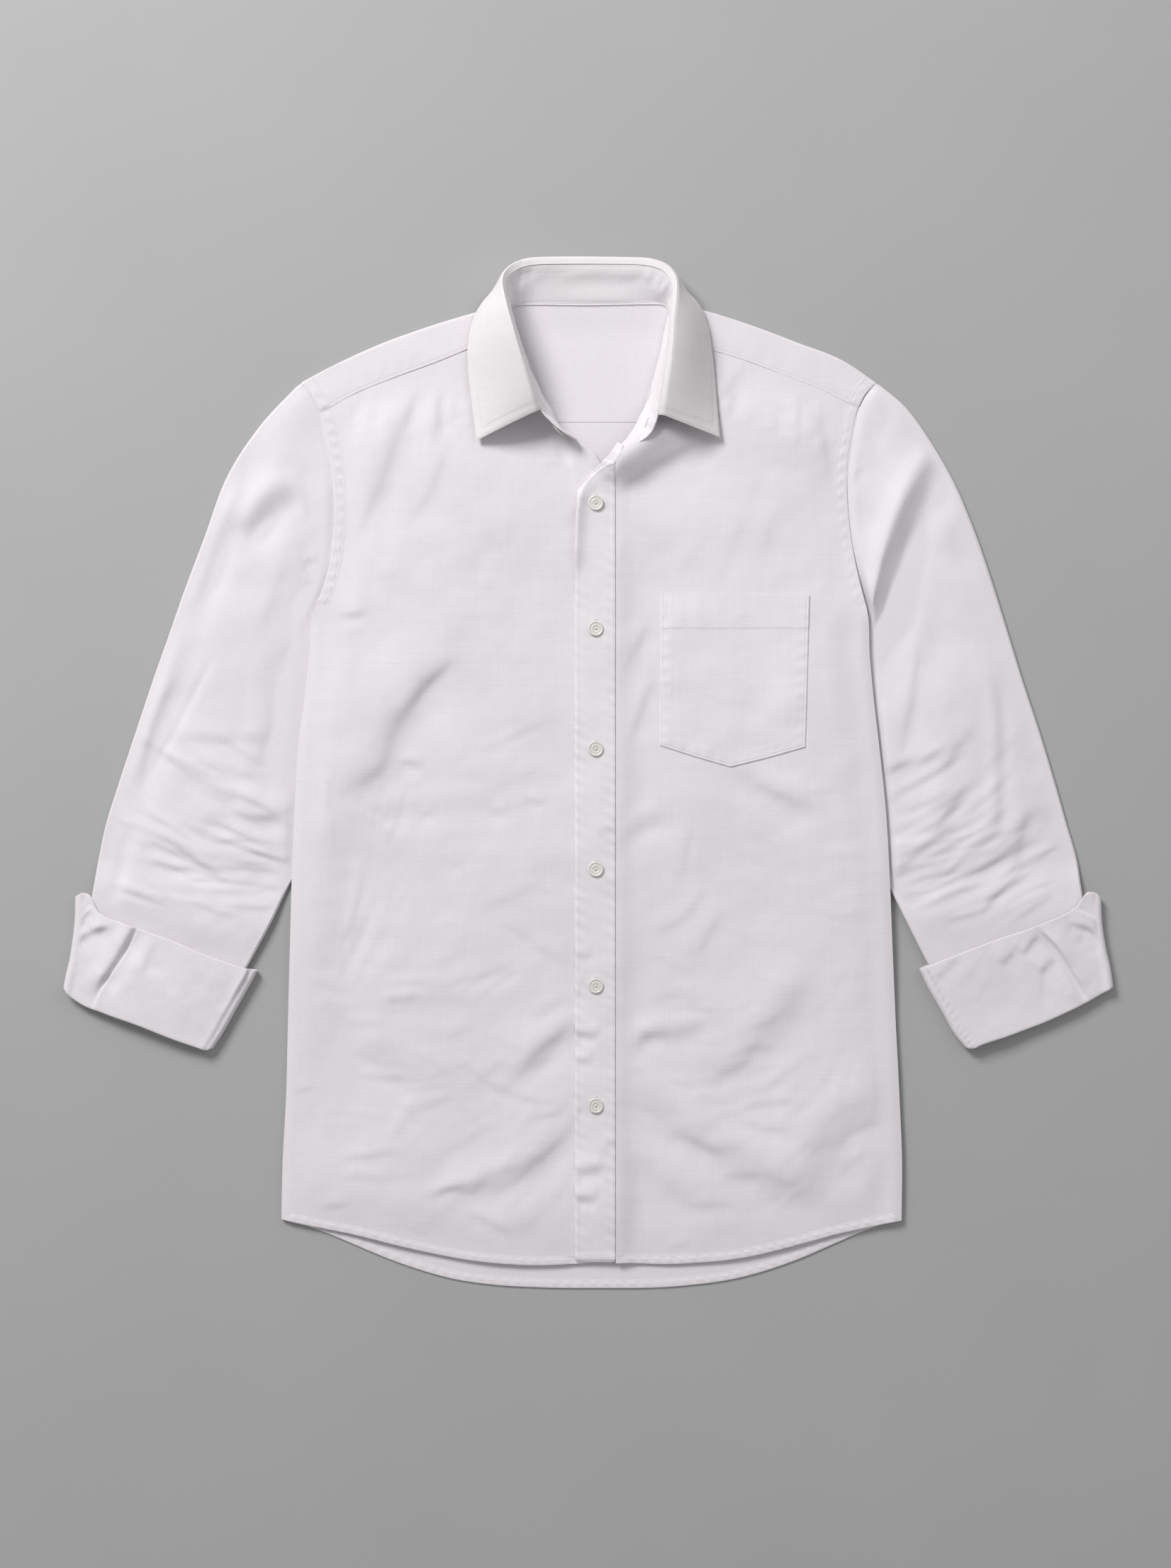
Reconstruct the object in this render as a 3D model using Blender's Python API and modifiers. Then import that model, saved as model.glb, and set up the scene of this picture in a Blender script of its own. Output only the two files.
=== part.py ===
"""Dress shirt laid out flat on its back, front up, with both sleeves turned back.

Every piece that a shirt maker cuts is one closed wall of cloth. The plan (x, y) of
a piece comes from the tables of edges below, and its height from the layers it lies on.
+X is the viewer's right, +Y points to the collar, +Z is up, and z = 0 is the surface
that the shirt lies on. Tables and sizes are in millimetres, objects in metres.
"""
from collections import namedtuple
from math import cos, pi, sin

import bmesh
import bpy
import numpy as np
from mathutils import Matrix, Vector

MM = 0.001

# Walls of cloth and the room between them
CLOTH = 1.2
COLLAR_WALL = 1.6
CUFF_WALL = 2.4
GAP = 0.3
LAYER = CLOTH + GAP

# Body
YOKE_SEAM_Y = 272.0
SHOULDER_Y = 302.8
ARMPIT_Y = 126.4
YOKE_CORNER_Y = 279.7
HEM_CORNER_Y = -346.0
UNDERLAP_X = 18.0
NECK_SEAM_BACK_Y = 366.0
FRONT_LOFT = 2.1
MAX_LOFT = 3.4
LOFT_EDGE = 34.0
LOFT_HEM = 60.0
LOFT_SEAM = 50.0
HEM_LOFT_SHARE = 0.25
NECK_LOFT_SHARE = 0.35
NECK_Y = 330.0
NECK_WIDE = 90.0
NECK_TALL = 120.0
SLEEVE_STEP = 3.5
STEP_RAMP = 16.0

# Placket, pocket and buttons
PLACKET_SEAM_X = 21.0
PLACKET_RAMP = 15.0
BUTTON_RADIUS = 5.9
BUTTON_HEIGHT = 2.4
BUTTON_X = 5.8
BUTTON_YS = (208.5, 111.4, 18.4, -74.7, -165.0, -257.7)
POCKET_ROOM = 0.25

# Rows and columns that the back and the fronts share, so that they nest: lines of
# constant y, and distances in from the side edge
ROW_LINES = (-330.0, -290.0, -250.0, -212.0, -178.0, -148.0, -120.0, -97.0, -76.0, -52.0,
             -26.0, 2.0, 30.0, 56.0, 80.0, 102.0, 119.0, 136.0, 156.0, 186.0)
TOP_ROWS = (0.2, 0.4, 0.6, 0.8)
SIDE_COLUMNS = (0.0, 9.0, 19.0, 31.0, 44.0, 60.0, 82.0)

# Points along a section of the yoke, below the shoulder fold and above it
YOKE_UNDER = (0.0, 0.25, 0.62, 1.0)
YOKE_OVER = (0.0, 0.5, 1.0)

# Heights on the armhole where the sleeve's first ring has the points of the body's edge
ARMHOLE_YS = (291.0, 279.7, 261.0, 242.3, 223.5, 204.7, 186.0, 156.0, 136.0)
ARMHOLE_GAP = 0.7

# Sleeves
SLEEVE_HOLLOW = 0.6
SLEEVE_PUFF = 2.9
CUFF_HOLLOW = 3.9
CUFF_PUFF = 1.3
SLEEVE_RINGS = 15
CUFF_RINGS = 6
PUFF_START = 8.0
PUFF_RAMP = 34.0
CUFF_RAMP = 30.0

# Side edge of the body: armhole above the armpit, side seam below it
BodyEdge = namedtuple("BodyEdge", "y left right")
BODY_EDGES = (
    BodyEdge(-346.0, -237.8, 242.5),
    BodyEdge(-301.0, -236.8, 242.8),
    BodyEdge(-252.0, -234.3, 240.9),
    BodyEdge(-191.0, -232.7, 237.9),
    BodyEdge(-133.0, -231.0, 235.2),
    BodyEdge(-84.0, -229.7, 233.2),
    BodyEdge(-33.0, -227.6, 230.4),
    BodyEdge(21.0, -224.5, 224.9),
    BodyEdge(62.0, -219.2, 220.2),
    BodyEdge(91.0, -216.2, 217.6),
    BodyEdge(126.4, -212.5, 215.4),
    BodyEdge(138.3, -207.2, 212.3),
    BodyEdge(153.8, -202.4, 208.6),
    BodyEdge(186.4, -197.3, 203.0),
    BodyEdge(217.3, -197.0, 200.4),
    BodyEdge(242.5, -199.3, 200.9),
    BodyEdge(262.6, -203.6, 204.3),
    BodyEdge(279.7, -208.0, 208.0),
    BodyEdge(292.0, -214.6, 213.8),
    BodyEdge(302.8, -222.3, 222.6),
)

# Curved hems: the back hangs lower than the fronts
Hem = namedtuple("Hem", "x front back")
HEMS = (
    Hem(-238.0, -346.0, -346.4),
    Hem(-223.0, -349.6, -350.2),
    Hem(-199.0, -354.4, -358.7),
    Hem(-178.0, -358.7, -367.6),
    Hem(-157.0, -364.0, -376.4),
    Hem(-134.6, -369.5, -384.5),
    Hem(-105.6, -375.5, -392.6),
    Hem(-78.0, -379.5, -396.9),
    Hem(-37.7, -381.7, -399.4),
    Hem(5.5, -379.6, -399.9),
    Hem(69.2, -380.6, -398.5),
    Hem(118.4, -376.1, -391.6),
    Hem(164.1, -365.4, -377.0),
    Hem(191.4, -357.9, -365.1),
    Hem(224.2, -350.6, -351.6),
    Hem(242.8, -346.6, -346.8),
)

# Yoke from armhole to neck: the shoulder fold and the seam to the front
YokeRow = namedtuple("YokeRow", "fold_x fold_y seam_x seam_y")
YOKE_LEFT = (
    YokeRow(-222.3, 302.8, -208.0, 279.9),
    YokeRow(-198.4, 315.5, -184.0, 293.4),
    YokeRow(-161.0, 332.6, -150.0, 307.6),
    YokeRow(-125.0, 345.6, -118.0, 319.4),
    YokeRow(-96.0, 354.6, -90.0, 330.8),
    YokeRow(-64.0, 363.6, -59.0, 341.5),
)
YOKE_RIGHT = (
    YokeRow(222.6, 302.8, 208.0, 284.0),
    YokeRow(198.4, 319.1, 184.0, 296.4),
    YokeRow(161.0, 334.0, 150.0, 310.0),
    YokeRow(126.5, 347.0, 119.0, 321.4),
    YokeRow(97.0, 356.5, 91.0, 329.8),
    YokeRow(66.0, 364.6, 61.0, 338.0),
)

# Neck edge of each front, from the centre front to the yoke seam
NeckRow = namedtuple("NeckRow", "x y")
NECK_LEFT = (
    NeckRow(18.0, 226.0),
    NeckRow(9.9, 239.0),
    NeckRow(2.8, 249.5),
    NeckRow(-8.3, 257.2),
    NeckRow(-21.0, 267.0),
    NeckRow(-31.0, 282.0),
    NeckRow(-40.0, 301.0),
    NeckRow(-48.0, 321.0),
    NeckRow(-55.0, 341.5),
)
NECK_RIGHT = (
    NeckRow(21.3, 238.0),
    NeckRow(24.0, 247.5),
    NeckRow(29.5, 257.5),
    NeckRow(36.0, 268.0),
    NeckRow(43.0, 282.0),
    NeckRow(49.0, 300.0),
    NeckRow(54.0, 320.0),
    NeckRow(57.5, 338.0),
)

# Free edge of the placket, which rolls over above the top button
PlacketRow = namedtuple("PlacketRow", "y free_x")
PLACKET_EDGE = (
    PlacketRow(-377.6, -10.3),
    PlacketRow(-250.0, -10.5),
    PlacketRow(-120.0, -10.2),
    PlacketRow(20.0, -10.4),
    PlacketRow(150.0, -10.3),
    PlacketRow(190.0, -9.9),
    PlacketRow(207.0, -8.8),
    PlacketRow(215.3, -7.2),
    PlacketRow(223.0, -3.3),
    PlacketRow(229.0, 1.7),
    PlacketRow(233.8, 10.0),
    PlacketRow(236.8, 17.5),
)

# Patch pocket: bottom edge with its point, and the level top
PocketRow = namedtuple("PocketRow", "bottom_x bottom_y top_x top_y")
POCKET = (
    PocketRow(55.5, 20.8, 56.4, 138.1),
    PocketRow(82.0, 12.2, 84.0, 138.0),
    PocketRow(109.9, 4.1, 112.0, 137.7),
    PocketRow(138.0, 11.0, 141.0, 137.4),
    PocketRow(167.8, 19.5, 171.2, 137.1),
)

# Where the sleeves hidden under the body end, which is where the body steps down
StepRow = namedtuple("StepRow", "y left right")
HIDDEN_SLEEVE = (
    StepRow(-190.0, -285.0, 290.0),
    StepRow(-147.0, -254.0, 257.0),
    StepRow(-110.0, -230.0, 234.0),
    StepRow(-84.0, -212.0, 217.0),
    StepRow(-60.0, -199.0, 203.0),
    StepRow(-27.0, -191.0, 195.0),
    StepRow(14.0, -186.0, 189.0),
    StepRow(50.0, -187.0, 190.0),
    StepRow(80.0, -192.0, 195.0),
    StepRow(98.0, -197.0, 200.0),
    StepRow(119.0, -203.5, 208.0),
    StepRow(130.0, -210.0, 215.0),
    StepRow(146.0, -232.0, 236.0),
    StepRow(200.0, -300.0, 300.0),
)

# Sleeve sections, from the outer fold to the inner one. follow is how far a section
# still follows the curve of the armhole, puff how full it is, rise its height off
# the surface where it enters the turned-back cuff.
SleeveRow = namedtuple("SleeveRow", "outer_x outer_y inner_x inner_y follow puff rise")
SLEEVE_LEFT = (
    SleeveRow(-223.1, 302.8, -213.2, 126.4, 1.00, 0.4, 0.0),
    SleeveRow(-255.0, 268.5, -213.6, 123.6, 0.80, 0.8, 0.0),
    SleeveRow(-280.5, 229.0, -213.2, 119.0, 0.55, 1.0, 0.0),
    SleeveRow(-297.8, 182.4, -209.5, 110.5, 0.32, 1.0, 0.0),
    SleeveRow(-312.6, 143.0, -203.5, 98.0, 0.15, 1.0, 0.0),
    SleeveRow(-325.0, 107.5, -199.0, 80.0, 0.05, 1.0, 0.0),
    SleeveRow(-337.5, 72.0, -194.0, 50.0, 0.00, 1.0, 0.0),
    SleeveRow(-351.5, 30.0, -193.0, 14.0, 0.00, 1.0, 0.0),
    SleeveRow(-365.0, -11.0, -199.0, -27.0, 0.00, 1.0, 0.0),
    SleeveRow(-374.0, -40.0, -212.0, -58.0, 0.00, 1.0, 0.0),
    SleeveRow(-379.5, -66.0, -231.0, -86.0, 0.00, 0.8, 0.0),
    SleeveRow(-383.0, -88.0, -245.5, -116.3, 0.00, 0.4, 2.8),
    SleeveRow(-387.5, -113.0, -262.5, -147.5, 0.00, 0.0, 2.8),
    SleeveRow(-393.0, -137.0, -276.0, -172.0, 0.00, 0.0, 2.8),
    SleeveRow(-398.5, -160.0, -292.0, -201.0, 0.00, 0.0, 2.8),
)
SLEEVE_RIGHT = (
    SleeveRow(223.4, 302.8, 216.1, 126.4, 1.00, 0.4, 0.0),
    SleeveRow(250.0, 278.8, 216.6, 123.6, 0.80, 0.8, 0.0),
    SleeveRow(279.0, 234.0, 216.2, 119.0, 0.55, 1.0, 0.0),
    SleeveRow(297.0, 194.0, 212.5, 110.5, 0.32, 1.0, 0.0),
    SleeveRow(311.5, 153.0, 206.5, 98.0, 0.15, 1.0, 0.0),
    SleeveRow(325.5, 108.4, 202.0, 80.0, 0.05, 1.0, 0.0),
    SleeveRow(337.0, 71.0, 197.0, 50.0, 0.00, 1.0, 0.0),
    SleeveRow(350.5, 30.0, 196.0, 14.0, 0.00, 1.0, 0.0),
    SleeveRow(362.8, -11.0, 202.0, -27.0, 0.00, 1.0, 0.0),
    SleeveRow(371.0, -40.0, 215.0, -58.0, 0.00, 1.0, 0.0),
    SleeveRow(378.5, -66.0, 232.5, -88.0, 0.00, 0.8, 0.0),
    SleeveRow(381.5, -88.0, 246.5, -116.0, 0.00, 0.4, 2.8),
    SleeveRow(386.0, -111.0, 262.5, -147.5, 0.00, 0.0, 2.8),
    SleeveRow(392.5, -135.0, 276.0, -172.0, 0.00, 0.0, 2.8),
    SleeveRow(397.5, -158.0, 293.0, -201.0, 0.00, 0.0, 2.8),
)

# Turned-back cuff, from its free edge to the fold. The first and last rows are also
# given point by point, because the free edge ends in the corner of the cuff.
CuffRow = namedtuple("CuffRow", "outer_x outer_y inner_x inner_y")
CUFF_LEFT = (
    CuffRow(-397.2, -96.4, -255.9, -153.2),
    CuffRow(-397.9, -117.0, -262.8, -166.0),
    CuffRow(-401.3, -142.3, -274.0, -186.0),
    CuffRow(-404.6, -157.0, -283.0, -202.0),
    CuffRow(-406.4, -166.6, -290.5, -213.4),
)
CUFF_RIGHT = (
    CuffRow(396.9, -97.0, 256.0, -152.2),
    CuffRow(397.9, -117.0, 263.5, -167.6),
    CuffRow(400.9, -136.0, 274.0, -186.0),
    CuffRow(404.3, -151.0, 283.0, -202.0),
    CuffRow(406.4, -165.8, 291.5, -212.8),
)
CuffEdge = namedtuple("CuffEdge", "along x y")
FREE_EDGE_LEFT = (
    CuffEdge(0.00, -397.2, -96.4),
    CuffEdge(0.04, -391.4, -93.2),
    CuffEdge(0.09, -385.6, -95.6),
    CuffEdge(0.16, -378.8, -107.0),
    CuffEdge(0.30, -356.0, -117.6),
    CuffEdge(0.50, -325.0, -128.4),
    CuffEdge(0.75, -290.4, -142.6),
    CuffEdge(0.92, -265.0, -151.2),
    CuffEdge(1.00, -255.9, -153.2),
)
FREE_EDGE_RIGHT = (
    CuffEdge(0.00, 396.9, -97.0),
    CuffEdge(0.04, 391.5, -92.6),
    CuffEdge(0.09, 384.6, -93.6),
    CuffEdge(0.16, 376.6, -103.8),
    CuffEdge(0.30, 352.0, -116.2),
    CuffEdge(0.50, 318.0, -128.0),
    CuffEdge(0.75, 284.0, -140.8),
    CuffEdge(0.92, 264.0, -148.6),
    CuffEdge(1.00, 256.0, -152.2),
)
FOLD_EDGE_LEFT = (
    CuffEdge(0.00, -406.4, -166.6),
    CuffEdge(0.10, -396.0, -177.0),
    CuffEdge(0.50, -349.0, -195.9),
    CuffEdge(0.90, -303.0, -212.0),
    CuffEdge(1.00, -290.5, -213.4),
)
FOLD_EDGE_RIGHT = (
    CuffEdge(0.00, 406.4, -165.8),
    CuffEdge(0.10, 396.0, -174.4),
    CuffEdge(0.50, 351.0, -192.6),
    CuffEdge(0.90, 304.0, -210.4),
    CuffEdge(1.00, 291.5, -212.8),
)

# Collar, from the viewer's left end of the stand round the neck to its right end: the
# inside face of the stand at the neck seam (base) and at its top, then where the leaf
# bends in its fall and its outer edge. The stand reaches past the leaf at both ends.
CollarRow = namedtuple("CollarRow", "base_x base_y base_z top_x top_y top_z "
                                    "bend_x bend_y bend_z edge_x edge_y edge_z")
NO_LEAF = (0.0,) * 6
COLLAR = (
    CollarRow(-9.6, 258.2, 4.8, -8.6, 256.6, 14.0, *NO_LEAF),
    CollarRow(-14.0, 261.4, 4.8, -14.2, 259.6, 20.0, *NO_LEAF),
    CollarRow(-20.5, 267.4, 4.8, -22.0, 264.4, 23.4, *NO_LEAF),
    CollarRow(-26.0, 275.5, 4.8, -29.6, 271.2, 25.0, *NO_LEAF),
    CollarRow(-30.5, 283.5, 4.8, -36.0, 278.6, 26.0, -60.0, 268.0, 25.0, -85.8, 256.6, 10.0),
    CollarRow(-36.5, 294.0, 4.8, -40.4, 291.8, 30.0, -63.0, 284.0, 29.0, -87.8, 270.0, 8.4),
    CollarRow(-43.0, 309.5, 4.8, -45.4, 308.2, 33.0, -67.5, 302.0, 32.0, -90.4, 291.0, 6.8),
    CollarRow(-49.5, 326.0, 4.4, -50.8, 325.3, 35.0, -73.0, 320.0, 33.0, -92.6, 311.0, 5.6),
    CollarRow(-54.5, 339.5, 4.0, -54.8, 339.3, 35.4, -77.0, 335.0, 32.0, -93.0, 329.0, 5.0),
    CollarRow(-59.0, 351.0, 3.6, -58.8, 353.0, 34.0, -79.0, 350.0, 28.0, -90.4, 345.0, 4.6),
    CollarRow(-60.5, 357.5, 3.4, -61.2, 363.6, 31.0, -77.0, 362.0, 22.0, -85.0, 358.6, 4.4),
    CollarRow(-59.5, 360.5, 3.3, -62.6, 373.6, 27.0, -73.0, 373.5, 14.0, -76.5, 369.5, 2.2),
    CollarRow(-56.5, 362.0, 3.2, -61.2, 381.6, 23.2, -69.0, 386.0, 8.0, -66.0, 377.5, 1.9),
    CollarRow(-51.0, 362.4, 3.1, -56.4, 388.0, 19.0, -62.0, 395.0, 3.0, -55.0, 379.0, 1.8),
    CollarRow(-45.0, 362.6, 3.1, -48.6, 392.2, 16.0, -51.6, 399.4, 1.9, -46.0, 376.0, 1.8),
    CollarRow(-35.0, 362.6, 3.1, -36.0, 394.2, 14.0, -37.2, 401.4, 1.8, -34.0, 373.0, 1.8),
    CollarRow(0.0, 362.2, 3.1, 0.0, 394.8, 12.8, 0.0, 402.4, 1.8, 0.0, 371.0, 1.8),
    CollarRow(35.0, 362.8, 3.1, 36.0, 394.2, 14.0, 37.2, 401.4, 1.8, 34.0, 373.0, 1.8),
    CollarRow(46.0, 363.0, 3.1, 49.0, 392.2, 16.0, 52.2, 399.4, 1.9, 46.6, 376.0, 1.8),
    CollarRow(53.0, 363.0, 3.1, 57.6, 388.0, 19.0, 63.0, 395.0, 3.0, 56.0, 379.0, 1.8),
    CollarRow(58.5, 362.4, 3.2, 62.8, 380.6, 23.2, 71.0, 385.0, 8.0, 68.0, 377.5, 1.9),
    CollarRow(61.5, 360.0, 3.3, 64.6, 372.6, 27.0, 76.0, 372.5, 14.0, 78.0, 370.0, 2.2),
    CollarRow(62.6, 356.0, 3.4, 64.2, 361.8, 31.0, 80.0, 361.0, 22.0, 86.6, 360.2, 4.4),
    CollarRow(60.6, 346.0, 3.8, 62.6, 347.0, 34.2, 82.0, 346.0, 28.0, 92.6, 344.0, 4.6),
    CollarRow(56.2, 326.0, 4.4, 60.8, 325.3, 35.4, 81.0, 323.0, 32.0, 95.8, 323.0, 5.0),
    CollarRow(50.4, 303.6, 4.8, 57.4, 303.0, 33.4, 78.5, 300.0, 32.0, 98.0, 300.0, 6.6),
    CollarRow(45.4, 289.0, 4.8, 55.0, 287.4, 29.8, 77.0, 282.0, 28.5, 99.8, 278.0, 8.2),
    CollarRow(40.6, 277.0, 4.8, 53.0, 274.6, 25.6, 76.0, 267.0, 24.5, 101.4, 259.0, 10.0),
    CollarRow(36.6, 268.6, 5.2, 49.6, 264.4, 21.6, *NO_LEAF),
    CollarRow(33.0, 262.4, 5.6, 44.8, 258.4, 18.6, *NO_LEAF),
    CollarRow(29.6, 258.0, 6.0, 37.0, 254.6, 15.4, *NO_LEAF),
    CollarRow(27.2, 254.9, 6.2, 29.8, 252.8, 11.0, *NO_LEAF),
)
LEAF_FIRST = 4
LEAF_LAST = 27
ROLL_HEIGHT = 4.6
ROLL_LEAN = 1.4
LEAF_STEPS = 8
STAND_STATIONS = 47
LEAF_STATIONS = 33
BUTTON_STATION = 3

# Largest folds, from a start through a middle to an end, with half width and depth;
# a depth below zero is a ridge
Fold = namedtuple("Fold", "x0 y0 x1 y1 x2 y2 width depth")
FRONT_FOLDS = (
    Fold(-135.0, 308.0, -160.0, 236.0, -187.0, 174.0, 10.0, 1.7),
    Fold(-110.0, 268.0, -123.0, 226.0, -148.0, 182.0, 9.0, 0.9),
    Fold(-88.0, 97.0, -146.0, 44.0, -193.0, -31.0, 14.0, 1.9),
    Fold(-152.0, 110.0, -172.0, 70.0, -196.0, 20.0, 12.0, -1.2),
    Fold(-158.0, -100.0, -178.0, -128.0, -195.0, -156.0, 12.0, 1.3),
    Fold(-120.0, -333.0, -98.0, -322.0, -73.0, -315.0, 8.0, 0.9),
    Fold(180.0, 298.0, 181.0, 258.0, 190.0, 208.0, 9.0, 1.3),
    Fold(112.0, -8.0, 137.0, -17.0, 176.0, -37.0, 9.0, 1.4),
    Fold(48.0, 118.0, 34.0, 86.0, 26.0, 60.0, 8.0, 0.9),
    Fold(52.0, 74.0, 40.0, 40.0, 32.0, 18.0, 7.0, 0.8),
    Fold(96.0, -85.0, 74.0, -110.0, 53.0, -133.0, 11.0, 1.1),
    Fold(170.0, -190.0, 128.0, -232.0, 74.0, -262.0, 13.0, 1.3),
    Fold(-60.0, -250.0, -96.0, -232.0, -140.0, -226.0, 12.0, 1.0),
)
SLEEVE_FOLDS = (
    Fold(-246.0, 222.0, -242.0, 206.0, -248.0, 187.0, 11.0, 1.7),
    Fold(-266.0, 237.0, -283.0, 184.0, -306.0, 122.0, 8.0, 1.2),
    Fold(-230.0, 206.0, -221.0, 170.0, -216.0, 145.0, 7.0, -1.0),
    Fold(-284.0, 100.0, -316.0, 42.0, -348.0, -14.0, 7.0, 1.2),
    Fold(-334.0, 26.0, -283.0, 27.0, -236.0, 25.0, 6.0, 0.9),
    Fold(-292.0, -33.0, -274.0, -46.0, -254.0, -60.0, 6.0, 1.1),
    Fold(-342.0, -69.0, -310.0, -80.0, -279.0, -82.0, 6.0, 1.0),
    Fold(-357.0, -51.0, -363.0, -78.0, -369.0, -104.0, 6.0, 1.4),
    Fold(268.0, 238.0, 241.0, 158.0, 233.0, 112.0, 8.0, 2.0),
    Fold(258.0, 244.0, 226.0, 172.0, 222.0, 130.0, 7.0, -1.0),
    Fold(255.0, 112.0, 250.0, 60.0, 239.0, 0.0, 10.0, 1.0),
    Fold(316.0, 0.0, 316.0, -28.0, 316.0, -56.0, 6.0, 1.0),
    Fold(237.0, -30.0, 262.0, -22.0, 282.0, -13.0, 6.0, 1.0),
    Fold(246.0, -51.0, 272.0, -34.0, 293.0, -16.0, 6.0, 1.1),
    Fold(274.0, -62.0, 300.0, -50.0, 316.0, -46.0, 6.0, 1.0),
    Fold(290.0, -81.0, 312.0, -68.0, 330.0, -59.0, 6.0, 1.0),
    Fold(302.0, -101.0, 324.0, -92.0, 346.0, -74.0, 6.0, 1.1),
)
CUFF_FOLDS = (
    Fold(-352.0, -124.0, -368.0, -147.0, -381.0, -168.0, 5.0, 1.3),
    Fold(-380.0, -110.0, -388.0, -118.0, -397.0, -127.0, 4.0, 1.0),
    Fold(350.0, -122.0, 368.0, -145.0, 385.0, -169.0, 5.0, 1.3),
    Fold(362.0, -117.0, 380.0, -119.0, 397.0, -129.0, 4.0, 1.0),
)

# Finish of each kind of piece: colour, roughness
Finish = namedtuple("Finish", "name colour roughness")
SHIRTING = Finish("white_shirting", (0.80, 0.79, 0.80, 1.0), 0.85)
COLLAR_CLOTH = Finish("collar_cloth", (0.82, 0.81, 0.82, 1.0), 0.80)
BUTTON_SHELL = Finish("button_shell", (0.86, 0.84, 0.79, 1.0), 0.25)


def smooth(t):
    """Smooth step from 0 to 1 as t goes from 0 to 1."""
    t = np.clip(t, 0.0, 1.0)
    return t * t * (3.0 - 2.0 * t)


def curve(keys, values, at):
    """Cubic curve through the rows (keys rising), with slopes from the neighbours."""
    keys = np.asarray(keys, dtype=float)
    values = np.asarray(values, dtype=float)
    at = np.clip(np.asarray(at, dtype=float), keys[0], keys[-1])
    slopes = np.gradient(values, keys, axis=0)
    low = np.clip(np.searchsorted(keys, at, side="right") - 1, 0, len(keys) - 2)
    span = keys[low + 1] - keys[low]
    t = (at - keys[low]) / span
    if values.ndim > 1:
        t = t[..., None]
        span = span[..., None]
    start = (1.0 + 2.0 * t) * (1.0 - t) ** 2 * values[low]
    end = t * t * (3.0 - 2.0 * t) * values[low + 1]
    leave = t * (1.0 - t) ** 2 * span * slopes[low]
    arrive = t * t * (t - 1.0) * span * slopes[low + 1]
    return start + end + leave + arrive


def column(table, key, value, at):
    """Column `value` of a table, read as a smooth curve of its column `key`."""
    rows = sorted(table, key=lambda row: getattr(row, key))
    keys = [getattr(row, key) for row in rows]
    return curve(keys, [getattr(row, value) for row in rows], at)


def stations(table, count):
    """`count` rows at even steps through a table, all columns smooth between its rows."""
    rows = np.array(table, dtype=float)
    return curve(np.arange(len(rows)), rows, np.linspace(0.0, len(rows) - 1.0, count))


def fold_depth(folds, x, y):
    """Sum of the folds at (x, y): each a trough round a bent line, fading at its ends."""
    total = np.zeros_like(x)
    for fold in folds:
        best = np.full_like(x, 1e9)
        along = np.zeros_like(x)
        for t in np.linspace(0.0, 1.0, 13):
            px = (1 - t) ** 2 * fold.x0 + 2 * t * (1 - t) * fold.x1 + t * t * fold.x2
            py = (1 - t) ** 2 * fold.y0 + 2 * t * (1 - t) * fold.y1 + t * t * fold.y2
            distance = np.hypot(x - px, y - py)
            along = np.where(distance < best, t, along)
            best = np.minimum(best, distance)
        ends = smooth(4.0 * along + 0.35) * smooth(4.0 * (1.0 - along) + 0.35)
        total += fold.depth * ends * np.exp(-((best / fold.width) ** 2))
    return total


def body_left(y):
    """x of the body's edge on the viewer's left."""
    return column(BODY_EDGES, "y", "left", y)


def body_right(y):
    """x of the body's edge on the viewer's right."""
    return column(BODY_EDGES, "y", "right", y)


def lift(x, y):
    """Height of the body over the surface, where it lies on a sleeve."""
    left = x - column(HIDDEN_SLEEVE, "y", "left", y)
    right = column(HIDDEN_SLEEVE, "y", "right", y) - x
    return SLEEVE_STEP * smooth(1.0 - np.minimum(left, right) / STEP_RAMP)


def seam_line(x):
    """y of the yoke's front seam, or of the neck edge, above a point of a front."""
    table = YOKE_LEFT + YOKE_RIGHT
    return column(table, "seam_x", "seam_y", x)


def loft(x, y):
    """Height of the fronts over the back: fullest mid panel, with the largest folds."""
    edge = np.minimum(x - body_left(y), body_right(y) - x)
    hem = y - column(HEMS, "x", "front", x)
    seam = seam_line(x) - y
    full = smooth(edge / LOFT_EDGE) * smooth(seam / LOFT_SEAM)
    full = full * (HEM_LOFT_SHARE + (1.0 - HEM_LOFT_SHARE) * smooth(hem / LOFT_HEM))
    neck = smooth(np.hypot(x / NECK_WIDE, (y - NECK_Y) / NECK_TALL) - NECK_LOFT_SHARE)
    full = full * (NECK_LOFT_SHARE + (1.0 - NECK_LOFT_SHARE) * neck)
    return np.clip(full * (FRONT_LOFT - fold_depth(FRONT_FOLDS, x, y)), 0.0, MAX_LOFT)


def front_under(x, y):
    """Underside of the lower front and of what lies beside it."""
    return LAYER + lift(x, y) + loft(x, y)


def upper_front_under(x, y):
    """Underside of the upper front, which steps down beside the placket."""
    step = LAYER * smooth(1.0 - (x - PLACKET_SEAM_X) / PLACKET_RAMP)
    return front_under(x, y) + step


def points(x, y, z):
    """Grid of points from three grids of coordinates."""
    x, y, z = np.broadcast_arrays(x, y, z)
    return np.stack((x, y, z), axis=-1)


def collection(name):
    """Collection for the shirt's pieces, linked to the scene."""
    group = bpy.data.collections.new(name)
    bpy.context.scene.collection.children.link(group)
    return group


def material(finish):
    """Principled material of a finish, made once."""
    found = bpy.data.materials.get(finish.name)
    if found:
        return found
    made = bpy.data.materials.new(finish.name)
    made.use_nodes = True
    shader = made.node_tree.nodes["Principled BSDF"]
    shader.inputs["Base Color"].default_value = finish.colour
    shader.inputs["Roughness"].default_value = finish.roughness
    shader.inputs["Metallic"].default_value = 0.0
    made.diffuse_color = finish.colour
    return made


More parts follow.
